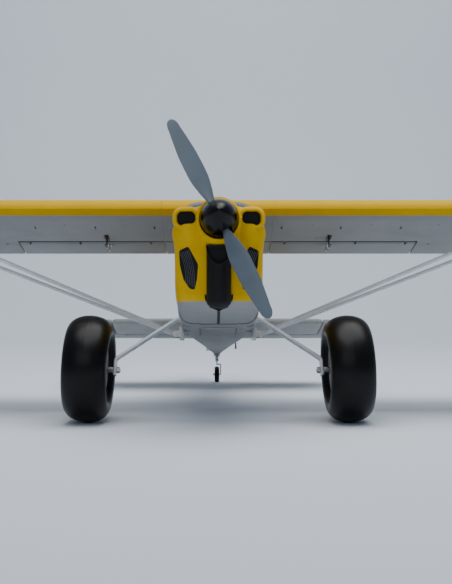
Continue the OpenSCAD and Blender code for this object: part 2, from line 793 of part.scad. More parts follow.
module wing_panel() {
  difference() {
    union() {
      side_plate(section(), center_half + seat, tip_x);
      wing_tip();
    }
    trailing_room(center_half - 1, flap_end + joint_gap, slot_gap);
    trailing_room(flap_end, aileron_end + joint_gap, swing);
    pin_x([0, tube_y, tube_z], tube_d / 2 + run, center_half - 1, tube_reach + 3);
    for (s = link_sites) {
      servo_room(s[0]);
      horn_room(s[0]);
    }
    for (p = [strut_front_out, strut_rear_out]) ear_seat(p, seat);
  }
  for (x = flap_lugs) lug(x, hinge_y, hinge_z, hinge_r + slot_gap + 2);
  for (x = aileron_lugs) lug(x, hinge_y, hinge_z, hinge_r + swing + 2);
}
module ear_seat(p, grow) {
  box([p.x - 9 - grow, p.y - 9 - grow, wing_z - 1], [p.x + 9 + grow, p.y + 9 + grow, wing_z + 4 + grow]);
}
tip_steps = [0, 0.3, 0.55, 0.75, 0.9, 1];
module wing_tip() {
  loft([
    for (t = tip_steps)
      let (k = sqrt(1 - t * t * 0.86), h = sqrt(1 - t * t * 0.93))
        [for (q = tip_ring) [
          tip_x + t * tip_len,
          tip_mid_y + (q.x - tip_mid_y) * k,
          tip_mid_z + (q.y - tip_mid_z) * h
        ]]
  ]);
}
tip_mid_y = wing_y + 0.42 * wing_chord;
tip_mid_z = wing_z + 13;
tip_ring = let (s = section()) [for (i = [len(s) - 1 : -1 : 0]) s[i]];

module wing_left() color("#e9b90f") stance() wing_panel();
module wing_right() color("#e9b90f") stance() side(right) wing_panel();

module flap_piece() {
  trailing_edge(center_half + 1, flap_end - joint_gap, flap_lugs);
  surface_horn(flap_link_x);
}
module surface_horn(x) {
  difference() {
    side_plate([
      [hinge_y + 3, wing_z + 4], [hinge_y + 24, wing_z + 4], [hinge_y + 24, wing_z - 2],
      [hinge_y + 5, hinge_z - link_r - 4], [hinge_y - 4, hinge_z - link_r - 4],
          [hinge_y - 4, hinge_z - link_r + 3],
    ], x - horn_t / 2, x + horn_t / 2);
    pin_x([0, hinge_y, hinge_z - link_r], wire_r + run, x - 5, x + 5);
  }
}
module aileron_piece() {
  trailing_edge(flap_end + joint_gap * 2, aileron_end, aileron_lugs);
  surface_horn(aileron_link_x);
}
module flap_left() color("#9da3a8") stance() flap_piece();
module flap_right() color("#9da3a8") stance() side(right) flap_piece();
module aileron_left() color("#9da3a8") stance() aileron_piece();
module aileron_right() color("#9da3a8") stance() side(right) aileron_piece();

module strut_pair() {
  strut(strut_front_in, strut_front_out);
  strut(strut_rear_in, strut_rear_out);
}
module strut_pair_left() color("#dfe3e8") stance() strut_pair();
module strut_pair_right() color("#dfe3e8") stance() side(right) strut_pair();

module strut_brackets() color("#8d9299") stance() both() {
  fitting_block(0);
  for (p = [strut_front_in, strut_rear_in])
    ears(p, [[cabin_half, p.z - 6], [p.x, p.z - 6], [p.x, p.z + 6], [cabin_half, p.z + 6]]);
  for (p = [strut_front_out, strut_rear_out]) {
    ear_seat(p, 0);
    ears(p, [[p.x - 6, p.z], [p.x + 6, p.z], [p.x + 6, wing_z], [p.x - 6, wing_z]]);
  }
}

module gear_leg() {
  difference() {
    front_plate(strip(leg_line, leg_t), axle_y - leg_w / 2, axle_y + leg_w / 2);
    at_wheel() pin_x([0, 0, 0], axle_r + seat, -tyre_w, tyre_w);
    for (y = [-7, 7]) pin_z([leg_root.x + 12, axle_y + y, 0], 1.5 + seat, -belly_z - 20, -belly_z + 30);
  }
}
module gear_leg_left() color("#c3c8cf") stance() gear_leg();
module gear_leg_right() color("#c3c8cf") stance() side(right) gear_leg();

leg_in = -tyre_w / 2 - 6 - leg_t / 2;
leg_out = -tyre_w / 2 - 6 + leg_t / 2;
module axles() color("#8f949b") stance() both() at_wheel() {
  pin_x([0, 0, 0], axle_r, leg_in - 8, 19);
  translate([leg_in - 6.5, 0, 0]) rotate([0, 90, 0]) cylinder(r = 6, h = 5.5, $fn = 6);
  pin_x([0, 0, 0], 5.5, leg_out + 0.8, -13 - 0.3);
  pin_x([0, 0, 0], 5, 13.3, 17.5);
}

module hub() {
  rotate([0, 90, 0])
    rotate_extrude()
      polygon([
        [axle_r + run, -13], [9, -13], [10, -6], [bead_r - 9, -8], [bead_r - 5, -24],
            [bead_r - 5, -29], [bead_r + 3, -29],
        [bead_r + 3, -25], [bead_r, -24], [bead_r, 24], [bead_r + 3, 25], [bead_r + 3, 29],
            [bead_r - 5, 29], [bead_r - 5, 24],
        [bead_r - 9, 0], [10, 4], [9, 13], [axle_r + run, 13],
      ]);
}
tyre_mid_r = (tyre_d / 2 + bead_r) / 2 + 1;
module tyre() {
  rotate([0, 90, 0])
    rotate_extrude()
      difference() {
        polygon([
          for (i = [0 : 31])
            let (a = 360 * (i + 0.5) / 32)
              [tyre_d / 2 - 27 + (cos(a) > 0 ? 27 : 24) * rounded(cos(a), 2.3),
                  tyre_w / 2 * rounded(sin(a), 2.3)]
        ]);
        polygon([[0, -25.5], [bead_r + seat, -24.3], [bead_r + seat, 24.3], [0, 25.5]]);
        polygon([[0, -80], [bead_r + 3 + seat, -80], [bead_r + 3 + seat, seat - 24.1], [0, seat - 24.1]]);
        polygon([[0, 80], [bead_r + 3 + seat, 80], [bead_r + 3 + seat, 24.1 - seat], [0, 24.1 - seat]]);
      }
}
module tyre_left() color("#141416") stance() at_wheel() tyre();
module tyre_right() color("#141416") stance() side(right) at_wheel() tyre();
module hub_left() color("#5a5b60") stance() at_wheel() hub();
module hub_right() color("#5a5b60") stance() side(right) at_wheel() hub();

module float_sockets() color("#2b2b2e") stance() both() {
  for (p = float_points)
    difference() {
      pin_z([p.x, p.y, 0], socket_r, belly_at(p.y) - 0.4, belly_at(p.y) + socket_h);
      pin_z([p.x, p.y, 0], thread_r, belly_at(p.y) - 5, belly_at(p.y) + socket_h - 2);
    }
}

module battery_hatch() color("#8f9498") stance() {
  difference() {
    intersection() {
      body_loft(body_stations);
      side_plate([
        [hatch_y0, -belly_z - 20], [hatch_y1, -belly_z - 20],
        [hatch_y1, belly_at(hatch_y1) + foam_wall], [hatch_y0, belly_at(hatch_y0) + foam_wall],
      ], -hatch_half, hatch_half);
    }
    pin_z([0, hatch_y1 + 2, 0], 9, -belly_z - 20, -belly_z + 40);
  }
  pin_x([0, hatch_y0, hatch_hinge_z], hatch_pin_r, -hatch_half + 3, hatch_half - 3);
}

module stab_half_plan() {
  plan_plate([
    [-eps, stab_y], [balance_x - 30, stab_y + 8], [balance_x - 8, stab_y + 12],
        [balance_x - joint_gap, stab_y + 20],
    [balance_x - joint_gap, elev_y - elev_gap], [-eps, elev_y - elev_gap],
  ], tail_center_z - nose_r, tail_center_z + nose_r);
}
module horizontal_stabilizer() color("#aeb3b7") stance() {
  both() {
    stab_half_plan();
    for (x = elev_lugs) lug(x, elev_y, tail_center_z, elev_gap + 2);
  }
}
module elevator_half() {
  difference() {
    union() {
      pin_x([0, elev_y, tail_center_z], nose_r, elev_root_x, balance_x + joint_gap);
      plan_plate([
        [elev_root_x, elev_y], [balance_x + joint_gap, elev_y], [balance_x + joint_gap, stab_y + 18],
        [balance_x + 14, stab_y + 20], [balance_x + 34, stab_y + 32], [stab_half - 4, stab_y + 62],
            [stab_half, stab_y + 92],
        [stab_half, elev_te - 46], [stab_half - 10, elev_te - 22], [stab_half - 34, elev_te - 9],
        [elev_root_x + 60, elev_te], [elev_root_x, elev_te],
      ], tail_center_z - nose_r, tail_center_z + nose_r);
      plan_plate([
        [elev_root_x, elev_y + 10], [stab_half - 40, elev_y + 10], [stab_half - 40, elev_te - 14],
            [elev_root_x, elev_te - 8],
      ], tail_center_z - nose_r, tail_center_z + nose_r);
    }
    for (x = elev_lugs) lug_slot(x, elev_y, tail_center_z, nose_r);
    pin_x([0, elev_y, tail_center_z], joiner_r + seat, 0, elev_root_x + 26 + seat);
  }
  for (x = elev_lugs) pin_x([0, elev_y, tail_center_z], pin_r, x - lug_half - 6, x + lug_half + 6);
}
module elevator_halves() color("#9da3a8") stance() {
  difference() {
    both() elevator_half();
    box([elev_link_x - 4, elev_y - 20, tail_center_z - 20],
        [elev_link_x + 4, elev_y + 8, tail_center_z + 20]);
  }
}
module elevator_joiner() color("#c3c8cf") stance() difference() {
  union() {
    pin_x([0, elev_y, tail_center_z], joiner_r, -elev_root_x - 26, elev_root_x + 26);
    pin_x([0, elev_y, tail_center_z], 5, elev_link_x - horn_t / 2, elev_link_x + horn_t / 2);
    side_plate([
      [elev_y - 4.5, tail_center_z], [elev_y + 4.5, tail_center_z], [elev_y + 3, tail_center_z - link_r - 3],
      [elev_y - 3, tail_center_z - link_r - 3],
    ], elev_link_x - horn_t / 2, elev_link_x + horn_t / 2);
  }
  pin_x([0, elev_y, tail_center_z - link_r], wire_r + run, elev_link_x - 5, elev_link_x + 5);
}

fin_foot = 10;
module vertical_fin() color("#e9b90f") stance() {
  side_plate([
    [tail_y - 231, fin_foot - 6], [tail_y - 176, 70], [tail_y - 114, 150], [tail_y - 82, fin_top - 8],
    [tail_y - 60, fin_top],
        [rudder_y - post_gap, fin_top - 2],
    [rudder_y - post_gap, fin_foot - 6],
  ], -tail_t / 2, tail_t / 2);
  for (z = fin_lugs_z) rudder_lug(z);
}
module rudder_lug(z) {
  difference() {
    union() {
      pin_z([0, rudder_y, 0], lug_r, z - lug_half, z + lug_half);
      box([-lug_r, rudder_y - post_gap - 2, z - lug_half], [lug_r, rudder_y, z + lug_half]);
    }
    pin_z([0, rudder_y, 0], pin_r + run, z - 5, z + 5);
  }
}
module rudder() color("#9da3a8") stance() {
  difference() {
    union() {
      pin_z([0, rudder_y, 0], nose_r, rudder_foot_z, fin_top - 2);
      side_plate([for (p = rudder_shape) [rudder_y + p.x, p.y]], -tail_t / 2, tail_t / 2);
      plan_plate([
        [2, rudder_y - 4], [2, rudder_y + 18], [-tail_t / 2 - 2, rudder_y + 14],
            [-rudder_r - 4, rudder_y + 4], [-rudder_r - 4, rudder_y - 4],
      ], rudder_arm_z - horn_t / 2, rudder_arm_z + horn_t / 2);
    }
    for (z = fin_lugs_z)
      box([-20, rudder_y - 12, z - lug_half - lug_room],
          [20, rudder_y + lug_r + 1.5, z + lug_half + lug_room]);
    pin_z([-rudder_r, rudder_y, 0], wire_r + run, rudder_arm_z - 5, rudder_arm_z + 5);
    pin_z([0, rudder_y, 0], wheel_wire_r, rudder_foot_z - 5, rudder_foot_z + 40);
  }
  for (z = fin_lugs_z) pin_z([0, rudder_y, 0], pin_r, z - lug_half - 6, z + lug_half + 6);
}

barrel_z0 = -tail_foot_z - 17;
barrel_z1 = -tail_foot_z - 2;
module tail_bracket() color("#202024") stance() {
  difference() {
    union() {
      box([-8, tail_y - 74, -tail_foot_z - 4], [8, tail_y - 2, -tail_foot_z + 2]);
      box([-3, tail_y - 40, barrel_z0 + 3], [3, rudder_y, barrel_z1 - 2]);
      box([-8, tail_y - 40, -tail_foot_z - 8], [8, tail_y - 10, -tail_foot_z - 3]);
      pin_z([0, rudder_y, 0], 4.5, barrel_z0, barrel_z1);
    }
    pin_z([0, rudder_y, 0], wheel_wire_r + run, barrel_z0 - 1, barrel_z1 + 1);
  }
}
fork_x = 9.5;
knuckle_r = wheel_wire_r + 0.35;
module tail_fork() color("#c3c8cf") stance() {
  r = wheel_wire_r;
  low = barrel_z0 - 8;
  reach = [0, tail_axle_y - rudder_y, -tail_axle_z - low];
  pin_z([0, rudder_y, 0], r, low, rudder_foot_z + 38);
  pin_x([0, rudder_y, low], r - 0.1, 0, fork_x);
  translate([0, rudder_y, low]) sphere(r = knuckle_r);
  translate([fork_x, rudder_y, low]) sphere(r = knuckle_r);
  translate([fork_x, rudder_y, low])
    rotate([-acos(reach.z / norm(reach)), 0, 0])
      cylinder(r = r - 0.1, h = norm(reach));
  translate([fork_x, tail_axle_y, -tail_axle_z]) sphere(r = knuckle_r);
  pin_x([0, tail_axle_y, -tail_axle_z], r, -10, fork_x);
  pin_x([0, tail_axle_y, -tail_axle_z], 3, -10, -7);
}
module tail_hub() color("#d8dade") stance() difference() {
  union() {
    pin_x([0, tail_axle_y, -tail_axle_z], tail_wheel_d / 2 - 8, -5, 5);
    pin_x([0, tail_axle_y, -tail_axle_z], 4, -6.4, 6.4);
  }
  pin_x([0, tail_axle_y, -tail_axle_z], wheel_wire_r + run, -20, 20);
}
module tail_tyre() color("#141416") stance() translate([0, tail_axle_y, -tail_axle_z]) rotate([0, 90, 0])
  rotate_extrude()
    polygon([
      [tail_wheel_d / 2 - 8 + seat, -4], [tail_wheel_d / 2 - 6, -6], [tail_wheel_d / 2 - 2.5, -5.4],
      [tail_wheel_d / 2 - 0.6, -3.4], [tail_wheel_d / 2, 0], [tail_wheel_d / 2 - 0.6, 3.4],
          [tail_wheel_d / 2 - 2.5, 5.4],
      [tail_wheel_d / 2 - 6, 6], [tail_wheel_d / 2 - 8 + seat, 4],
    ]);

module spinner_cone() color("#17171a") stance() rotate([0, -prop_park, 0]) {
  difference() {
    translate([0, 3 - seat / 3, 0]) rotate([90, 0, 0]) rotate_extrude() polygon(spinner_shape(0));
    translate([0, 3, 0]) rotate([90, 0, 0]) rotate_extrude() polygon(spinner_shape(1.6));
    for (s = [-1, 1]) box([-blade_slot / 2, -24, s > 0 ? 10 : -far], [blade_slot / 2, 4, s > 0 ? far : -10]);
  }
}
blade_slot = 21;
spin_len = spinner_len - 3;
function spinner_shape(wall) = concat(
  [[0, -1]],
  [for (i = [0 : 14]) let (a = 90 * i / 14) [
    (spinner_d / 2 - wall) * pow(cos(a), 0.8),
    (i == 0 ? -1 : 0) * (wall > 0 ? 1 : 0) + (spin_len - wall * 1.5) * sin(a)
  ]]
);
module spinner_backplate() color("#2b2b2e") stance() difference() {
  pin_y([0, 0, 0], spinner_d / 2, 3, 6);
  pin_y([0, 0, 0], shaft_r, 0, 10);
}

// Blade sections: distance from the hub as a share of the radius, chord share, thickness share
blade_steps = [
  [0.045, 0.36, 0.5], [0.1, 0.42, 0.38], [0.17, 0.52, 0.26], [0.27, 0.78, 0.16], [0.42, 1, 0.12],
  [0.6, 0.97, 0.11], [0.77, 0.8, 0.1], [0.9, 0.61, 0.1], [0.965, 0.44, 0.1], [1, 0.2, 0.1],
];
module blade() {
  loft([
    for (s = blade_steps)
      let (r = s[0] * prop_d / 2, c = s[1] * blade_w, t = s[2] * c,
          pitch = atan(prop_pitch / (6.2832 * max(r, 26))))
        [
          for (i = [11 : -1 : 0])
            let (a = 360 * (i + 0.5) / 12, u = c / 2 * cos(a), v = t / 2 * sin(a) * (1 + 0.35 * cos(a)))
              [-(u * cos(pitch)) + v * sin(pitch), -7 - u * sin(pitch) - v * cos(pitch), r]
        ]
  ]);
}
module propeller() color("#6f7d8b") stance() rotate([0, -prop_park, 0]) {
  difference() {
    union() {
      pin_y([0, 0, 0], 11.5, -14, 3);
      blade();
      rotate([0, 180, 0]) blade();
    }
    pin_y([0, 0, 0], shaft_r, -30, 10);
  }
}

module arm_flap_left() color("#1b1b1f") stance() arm(flap_link_x, servo_y, servo_z);
module arm_flap_right() color("#1b1b1f") stance() side(right) arm(flap_link_x, servo_y, servo_z);
module arm_aileron_left() color("#1b1b1f") stance() arm(aileron_link_x, servo_y, servo_z);
module arm_aileron_right() color("#1b1b1f") stance() side(right) arm(aileron_link_x, servo_y, servo_z);
module wing_rod(x) {
  rod(x, servo_y, servo_z - link_r, hinge_y, hinge_z - link_r);
}
module rod_flap_left() color("#d5d8dc") stance() wing_rod(flap_link_x);
module rod_flap_right() color("#d5d8dc") stance() side(right) wing_rod(flap_link_x);
module rod_aileron_left() color("#d5d8dc") stance() wing_rod(aileron_link_x);
module rod_aileron_right() color("#d5d8dc") stance() side(right) wing_rod(aileron_link_x);
module arm_elevator() color("#1b1b1f") stance() arm(elev_link_x, tail_servo_y, elev_servo_z);
module rod_elevator() color("#d5d8dc") stance() rod(elev_link_x, tail_servo_y, elev_servo_z - link_r,
    elev_y, tail_center_z - link_r);
module arm_rudder() color("#1b1b1f") stance() difference() {
  union() {
    pin_z([rudder_servo_x, tail_servo_y, 0], 4, rudder_arm_z - arm_t / 2, rudder_arm_z + arm_t / 2);
    box([rudder_servo_x - rudder_r, tail_servo_y - 2.4, rudder_arm_z - arm_t / 2],
        [rudder_servo_x, tail_servo_y + 2.4, rudder_arm_z + arm_t / 2]);
    pin_z([rudder_servo_x - rudder_r, tail_servo_y, 0], 2.4, rudder_arm_z - arm_t / 2,
        rudder_arm_z + arm_t / 2);
  }
  pin_z([rudder_servo_x - rudder_r, tail_servo_y, 0], wire_r + run, rudder_arm_z - 5, rudder_arm_z + 5);
}
module rod_rudder() color("#d5d8dc") stance() {
  beside = rudder_arm_z + arm_t / 2 + wire_r + 0.6;
  pin_z([rudder_servo_x - rudder_r, tail_servo_y, 0], wire_r, rudder_arm_z - arm_t / 2 - 1.2, beside);
  pin_z([-rudder_r, rudder_y, 0], wire_r, rudder_arm_z - horn_t / 2 - 1.2, beside);
  plan_plate(strip([[rudder_servo_x - rudder_r, tail_servo_y - 0.9],
      [-rudder_r, rudder_y + 0.9]], 2 * wire_r), beside - wire_r, beside + wire_r);
}

module screws() color("#b9bcc2") stance() {
  for (p = cowl_screw_spots) {
    pin_z([p.x, cowl_screw_y, 0], 1.4, -belly_z - 1, -belly_z + 8);
    pin_z([p.x, cowl_screw_y, 0], 3, -belly_z - 2.2, -belly_z - 0.3);
  }
  both() {
    for (p = [strut_front_in, strut_rear_in, strut_front_out, strut_rear_out]) {
      pin_y(p, bolt_r, p.y - 6.5, p.y + 6.5);
      pin_y(p, 2.8, p.y - 6.5, p.y - 4.2);
      pin_y(p, 2.8, p.y + 4.2, p.y + 6.5);
    }
  }
}

fuselage_shell();
engine_cowl();
chin_scoop();
cowl_louvres();
firewall();
motor_mount();
motor_stator();
speed_controller();
battery_pack();
receiver();
wing_servos();
tail_servos();
windshield();
side_windows();
wing_left();
wing_right();
wing_tube();
strut_pair_left();
strut_pair_right();
strut_brackets();
gear_leg_left();
gear_leg_right();
axles();
float_sockets();
horizontal_stabilizer();
vertical_fin();
tail_bracket();
screws();
spinner_cone();
spinner_backplate();
propeller();
motor_shaft();
motor_bell();
tyre_left();
hub_left();
tyre_right();
hub_right();
tail_tyre();
tail_hub();
rudder();
tail_fork();
elevator_halves();
elevator_joiner();
aileron_left();
aileron_right();
flap_left();
flap_right();
battery_hatch();
arm_flap_left();
arm_flap_right();
arm_aileron_left();
arm_aileron_right();
arm_elevator();
arm_rudder();
rod_flap_left();
rod_flap_right();
rod_aileron_left();
rod_aileron_right();
rod_elevator();
rod_rudder();
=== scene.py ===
import bpy
import bmesh
import json
import math
from math import sin, cos, pi, radians
from mathutils import Matrix, Vector
from mathutils.bvhtree import BVHTree


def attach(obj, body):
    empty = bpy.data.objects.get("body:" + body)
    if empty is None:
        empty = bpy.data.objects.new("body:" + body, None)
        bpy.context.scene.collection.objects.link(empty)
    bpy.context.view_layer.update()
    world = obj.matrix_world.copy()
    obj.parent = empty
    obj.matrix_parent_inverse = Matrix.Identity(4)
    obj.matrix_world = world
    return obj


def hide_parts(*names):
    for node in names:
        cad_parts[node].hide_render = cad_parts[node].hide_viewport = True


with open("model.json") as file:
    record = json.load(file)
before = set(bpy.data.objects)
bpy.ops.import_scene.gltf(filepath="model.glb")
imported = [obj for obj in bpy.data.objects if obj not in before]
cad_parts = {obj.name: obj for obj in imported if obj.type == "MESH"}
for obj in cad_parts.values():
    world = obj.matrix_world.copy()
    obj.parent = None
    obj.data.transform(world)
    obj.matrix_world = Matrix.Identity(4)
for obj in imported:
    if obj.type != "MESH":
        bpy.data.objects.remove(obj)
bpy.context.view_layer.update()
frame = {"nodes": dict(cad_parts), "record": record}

joints = {j["name"]: j for j in frame["record"]["behaviour"]["joints"]}
nodes = frame["nodes"]

# The plane stands nose-up, so pieces are drawn square to the thrust line:
# x to port, y aft and z up, from the propeller hub
hub = Vector(joints["propeller_spin"]["pos_m"])
aft = -Vector(joints["propeller_spin"]["axis"])
up = Vector(joints["rudder_hinge"]["axis"])
planeFrame = Matrix.Translation(hub) @ Matrix(((1, aft.x, up.x, 0), (0, aft.y, up.y, 0),
    (0, aft.z, up.z, 0), (0, 0, 0, 1)))


# small mesh tools, all in millimetres in the plane's own axes

def newPiece(name, points, faces, matrix=None):
    mesh = bpy.data.meshes.new(name)
    mesh.from_pydata([(p[0] / 1000, p[1] / 1000, p[2] / 1000) for p in points], [], faces)
    mesh.validate()
    piece = bpy.data.objects.new(name, mesh)
    bpy.context.collection.objects.link(piece)
    piece.matrix_world = planeFrame if matrix is None else matrix
    bm = bmesh.new()
    bm.from_mesh(mesh)
    bmesh.ops.recalc_face_normals(bm, faces=bm.faces)
    bm.to_mesh(mesh)
    bm.free()
    return piece


def loftFaces(count, rows, closed=True, caps=True):
    faces = []
    for r in range(rows - 1):
        for i in range(count if closed else count - 1):
            j = (i + 1) % count
            faces.append((r * count + i, r * count + j, (r + 1) * count + j, (r + 1) * count + i))
    if caps:
        faces.append(tuple(range(count)))
        faces.append(tuple((rows - 1) * count + i for i in range(count)))
    return faces


def loft(name, rings, caps=True, matrix=None):
    points = [p for ring in rings for p in ring]
    return newPiece(name, points, loftFaces(len(rings[0]), len(rings), caps=caps), matrix)


def lathe(name, profile, axis, centre, turns=96, matrix=None):
    # profile points are (distance from the axis, place along it)
    rings = []
    for i in range(turns):
        a = 2 * pi * i / turns
        ring = []
        for r, t in profile:
            u, v = r * cos(a), r * sin(a)
            ring.append({"x": (t, u, v), "y": (u, t, v), "z": (u, v, t)}[axis])
        rings.append([tuple(Vector(p) + Vector(centre)) for p in ring])
    count = len(profile)
    points = [p for ring in rings for p in ring]
    faces = []
    for r in range(turns):
        s = (r + 1) % turns
        for i in range(count - 1):
            faces.append((r * count + i, r * count + i + 1, s * count + i + 1, s * count + i))
    piece = newPiece(name, points, faces, matrix)
    weld(piece, 0.00001)
    return piece


def weld(piece, distance):
    bm = bmesh.new()
    bm.from_mesh(piece.data)
    bmesh.ops.remove_doubles(bm, verts=bm.verts, dist=distance)
    bmesh.ops.recalc_face_normals(bm, faces=bm.faces)
    bm.to_mesh(piece.data)
    bm.free()


def prism(name, outline, axis, a, b, matrix=None):
    # outline is (y, z) for axis x, (x, z) for y and (x, y) for z
    order = {"x": lambda u, v, t: (t, u, v), "y": lambda u, v, t: (u, t, v), "z": lambda u, v,
        t: (u, v, t)}[axis]
    return loft(name, [[order(u, v, t) for u, v in outline] for t in (a, b)], matrix=matrix)


def disc(y, z, r, count=40):
    return [(y + r * cos(2 * pi * i / count), z + r * sin(2 * pi * i / count)) for i in range(count)]


def roundBox(x, z, w, h, r, steps=6):
    points = []
    for sx, sz, start in ((1, 1, 0), (-1, 1, 90), (-1, -1, 180), (1, -1, 270)):
        for i in range(steps + 1):
            a = radians(start + 90 * i / steps)
            points.append((x + sx * (w / 2 - r) + r * cos(a), z + sz * (h / 2 - r) + r * sin(a)))
    return points


def settle(piece):
    # turns the modifiers into plain mesh
    graph = bpy.context.evaluated_depsgraph_get()
    mesh = bpy.data.meshes.new_from_object(piece.evaluated_get(graph))
    piece.modifiers.clear()
    piece.data = mesh
    return piece


def carve(piece, cutters, how="DIFFERENCE"):
    for cutter in cutters:
        m = piece.modifiers.new("cut", "BOOLEAN")
        m.operation = how
        m.solver = "EXACT"
        m.object = cutter
    settle(piece)
    for cutter in cutters:
        bpy.data.objects.remove(cutter)
    return piece


def soften(piece, width, steps=3, angle=35):
    m = piece.modifiers.new("round", "BEVEL")
    m.width = width / 1000
    m.segments = steps
    m.limit_method = "ANGLE"
    m.angle_limit = radians(angle)
    m.harden_normals = False
    return settle(piece)


def smooth(piece, angle=40):
    piece.data.shade_smooth()
    piece.data.set_sharp_from_angle(angle=radians(angle))
    return piece


def mirrored(piece, name):
    mesh = piece.data.copy()
    mesh.name = name
    other = bpy.data.objects.new(name, mesh)
    bpy.context.collection.objects.link(other)
    other.matrix_world = piece.matrix_world
    mesh.transform(Matrix.Scale(-1, 4, (1, 0, 0)))
    mesh.flip_normals()
    return other


def joined(name, pieces):
    bm = bmesh.new()
    for piece in pieces:
        bm.from_mesh(piece.data)
    mesh = bpy.data.meshes.new(name)
    bm.to_mesh(mesh)
    bm.free()
    whole = bpy.data.objects.new(name, mesh)
    bpy.context.collection.objects.link(whole)
    whole.matrix_world = pieces[0].matrix_world
    for piece in pieces:
        bpy.data.objects.remove(piece)
    return whole


def tube(name, path, radius, sides=14, closed=False, flat=1.0, matrix=None):
    # a round bar along a line of points
    pts = [Vector(p) for p in path]
    n = len(pts)
    rings = []
    side = None
    for i, p in enumerate(pts):
        a = pts[(i - 1) % n] if closed or i > 0 else p
        b = pts[(i + 1) % n] if closed or i < n - 1 else p
        d = (b - a).normalized()
        if side is None:
            side = d.orthogonal().normalized()
        side = (side - d * side.dot(d)).normalized()
        other = d.cross(side)
        rings.append([tuple(p + radius * (side * cos(2 * pi * k / sides)
            + flat * other * sin(2 * pi * k / sides))) for k in range(sides)])
    if closed:
        points = [q for ring in rings for q in ring]
        faces = []
        for r in range(n):
            s = (r + 1) % n
            for k in range(sides):
                faces.append((r * sides + k, r * sides + (k + 1) % sides, s * sides + (k + 1) % sides,
                    s * sides + k))
        return newPiece(name, points, faces, matrix)
    return loft(name, rings, matrix=matrix)


def finishPiece(piece, body, material, replaces=()):
    piece.data.materials.clear()
    piece.data.materials.append(material)
    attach(piece, body)
    if replaces:
        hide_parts(*replaces)
    return piece


def finishBoth(piece, rightName, body, material, node=None):
    # the right-hand piece is the left-hand one mirrored, on the right-hand body
    other = mirrored(piece, rightName)
    finishPiece(piece, body, material, [node] if node else ())
    rightNode = [node.replace("left", "right")] if node else ()
    finishPiece(other, body.replace("left", "right"), material, rightNode)


# materials

def linear(code, alpha=1.0):
    values = [int(code[i:i + 2], 16) / 255 for i in (1, 3, 5)]
    return tuple(v / 12.92 if v <= 0.04045 else ((v + 0.055) / 1.055) ** 2.4 for v in values) + (alpha,)


def addNode(tree, kind, settings=None, links=None):
    # settings go to a property or to an input by name, links are input: output socket
    node = tree.nodes.new(kind)
    for key, value in (settings or {}).items():
        if isinstance(key, str) and hasattr(node, key) and key not in node.inputs:
            setattr(node, key, value)
        else:
            node.inputs[key].default_value = value
    for key, socket in (links or {}).items():
        tree.links.new(socket, node.inputs[key])
    return node


def newMaterial(name):
    material = bpy.data.materials.new(name)
    material.use_nodes = True
    tree = material.node_tree
    tree.nodes.clear()
    shader = addNode(tree, "ShaderNodeBsdfPrincipled")
    addNode(tree, "ShaderNodeOutputMaterial", links={"Surface": shader.outputs["BSDF"]})
    return material, tree, shader


def ramp(tree, value, start, end):
    # rises from 0 to 1 as the value goes from start to end
    settings = {"From Min": start, "From Max": end}
    return addNode(tree, "ShaderNodeMapRange", settings, {"Value": value}).outputs["Result"]


def combine(tree, a, b, how="MULTIPLY"):
    return addNode(tree, "ShaderNodeMath", {"operation": how}, {0: a, 1: b}).outputs[0]


def mottled(tree, place, light, dark, size, contrast=1.0):
    # soft colour drift between two close tones; size in millimetres
    noise = addNode(tree, "ShaderNodeTexNoise",
        {"Scale": 1000 / size, "Detail": 3.0, "Roughness": 0.55}, {"Vector": place})
    share = ramp(tree, noise.outputs["Fac"], 0.5 - 0.25 / contrast, 0.5 + 0.25 / contrast)
    mix = addNode(tree, "ShaderNodeMix", {"data_type": "RGBA"}, {0: share})
    mix.inputs[6].default_value = linear(dark)
    mix.inputs[7].default_value = linear(light)
    return mix.outputs[2], noise


foamPaint = {
    "yellowLight": "#DDB000", "yellowDark": "#D4A700",
    "greyLight": "#9A9C9D", "greyDark": "#929495",
    "paintedCoveShade": "#2E3032",    # painted shade: the hinge cove darkened to a near-black grey
    "beadSize": 3.2,      # expanded bead, mm
    "beadDepth": 0.05,
    "yellowRough": 0.46, "greyRough": 0.58,
}


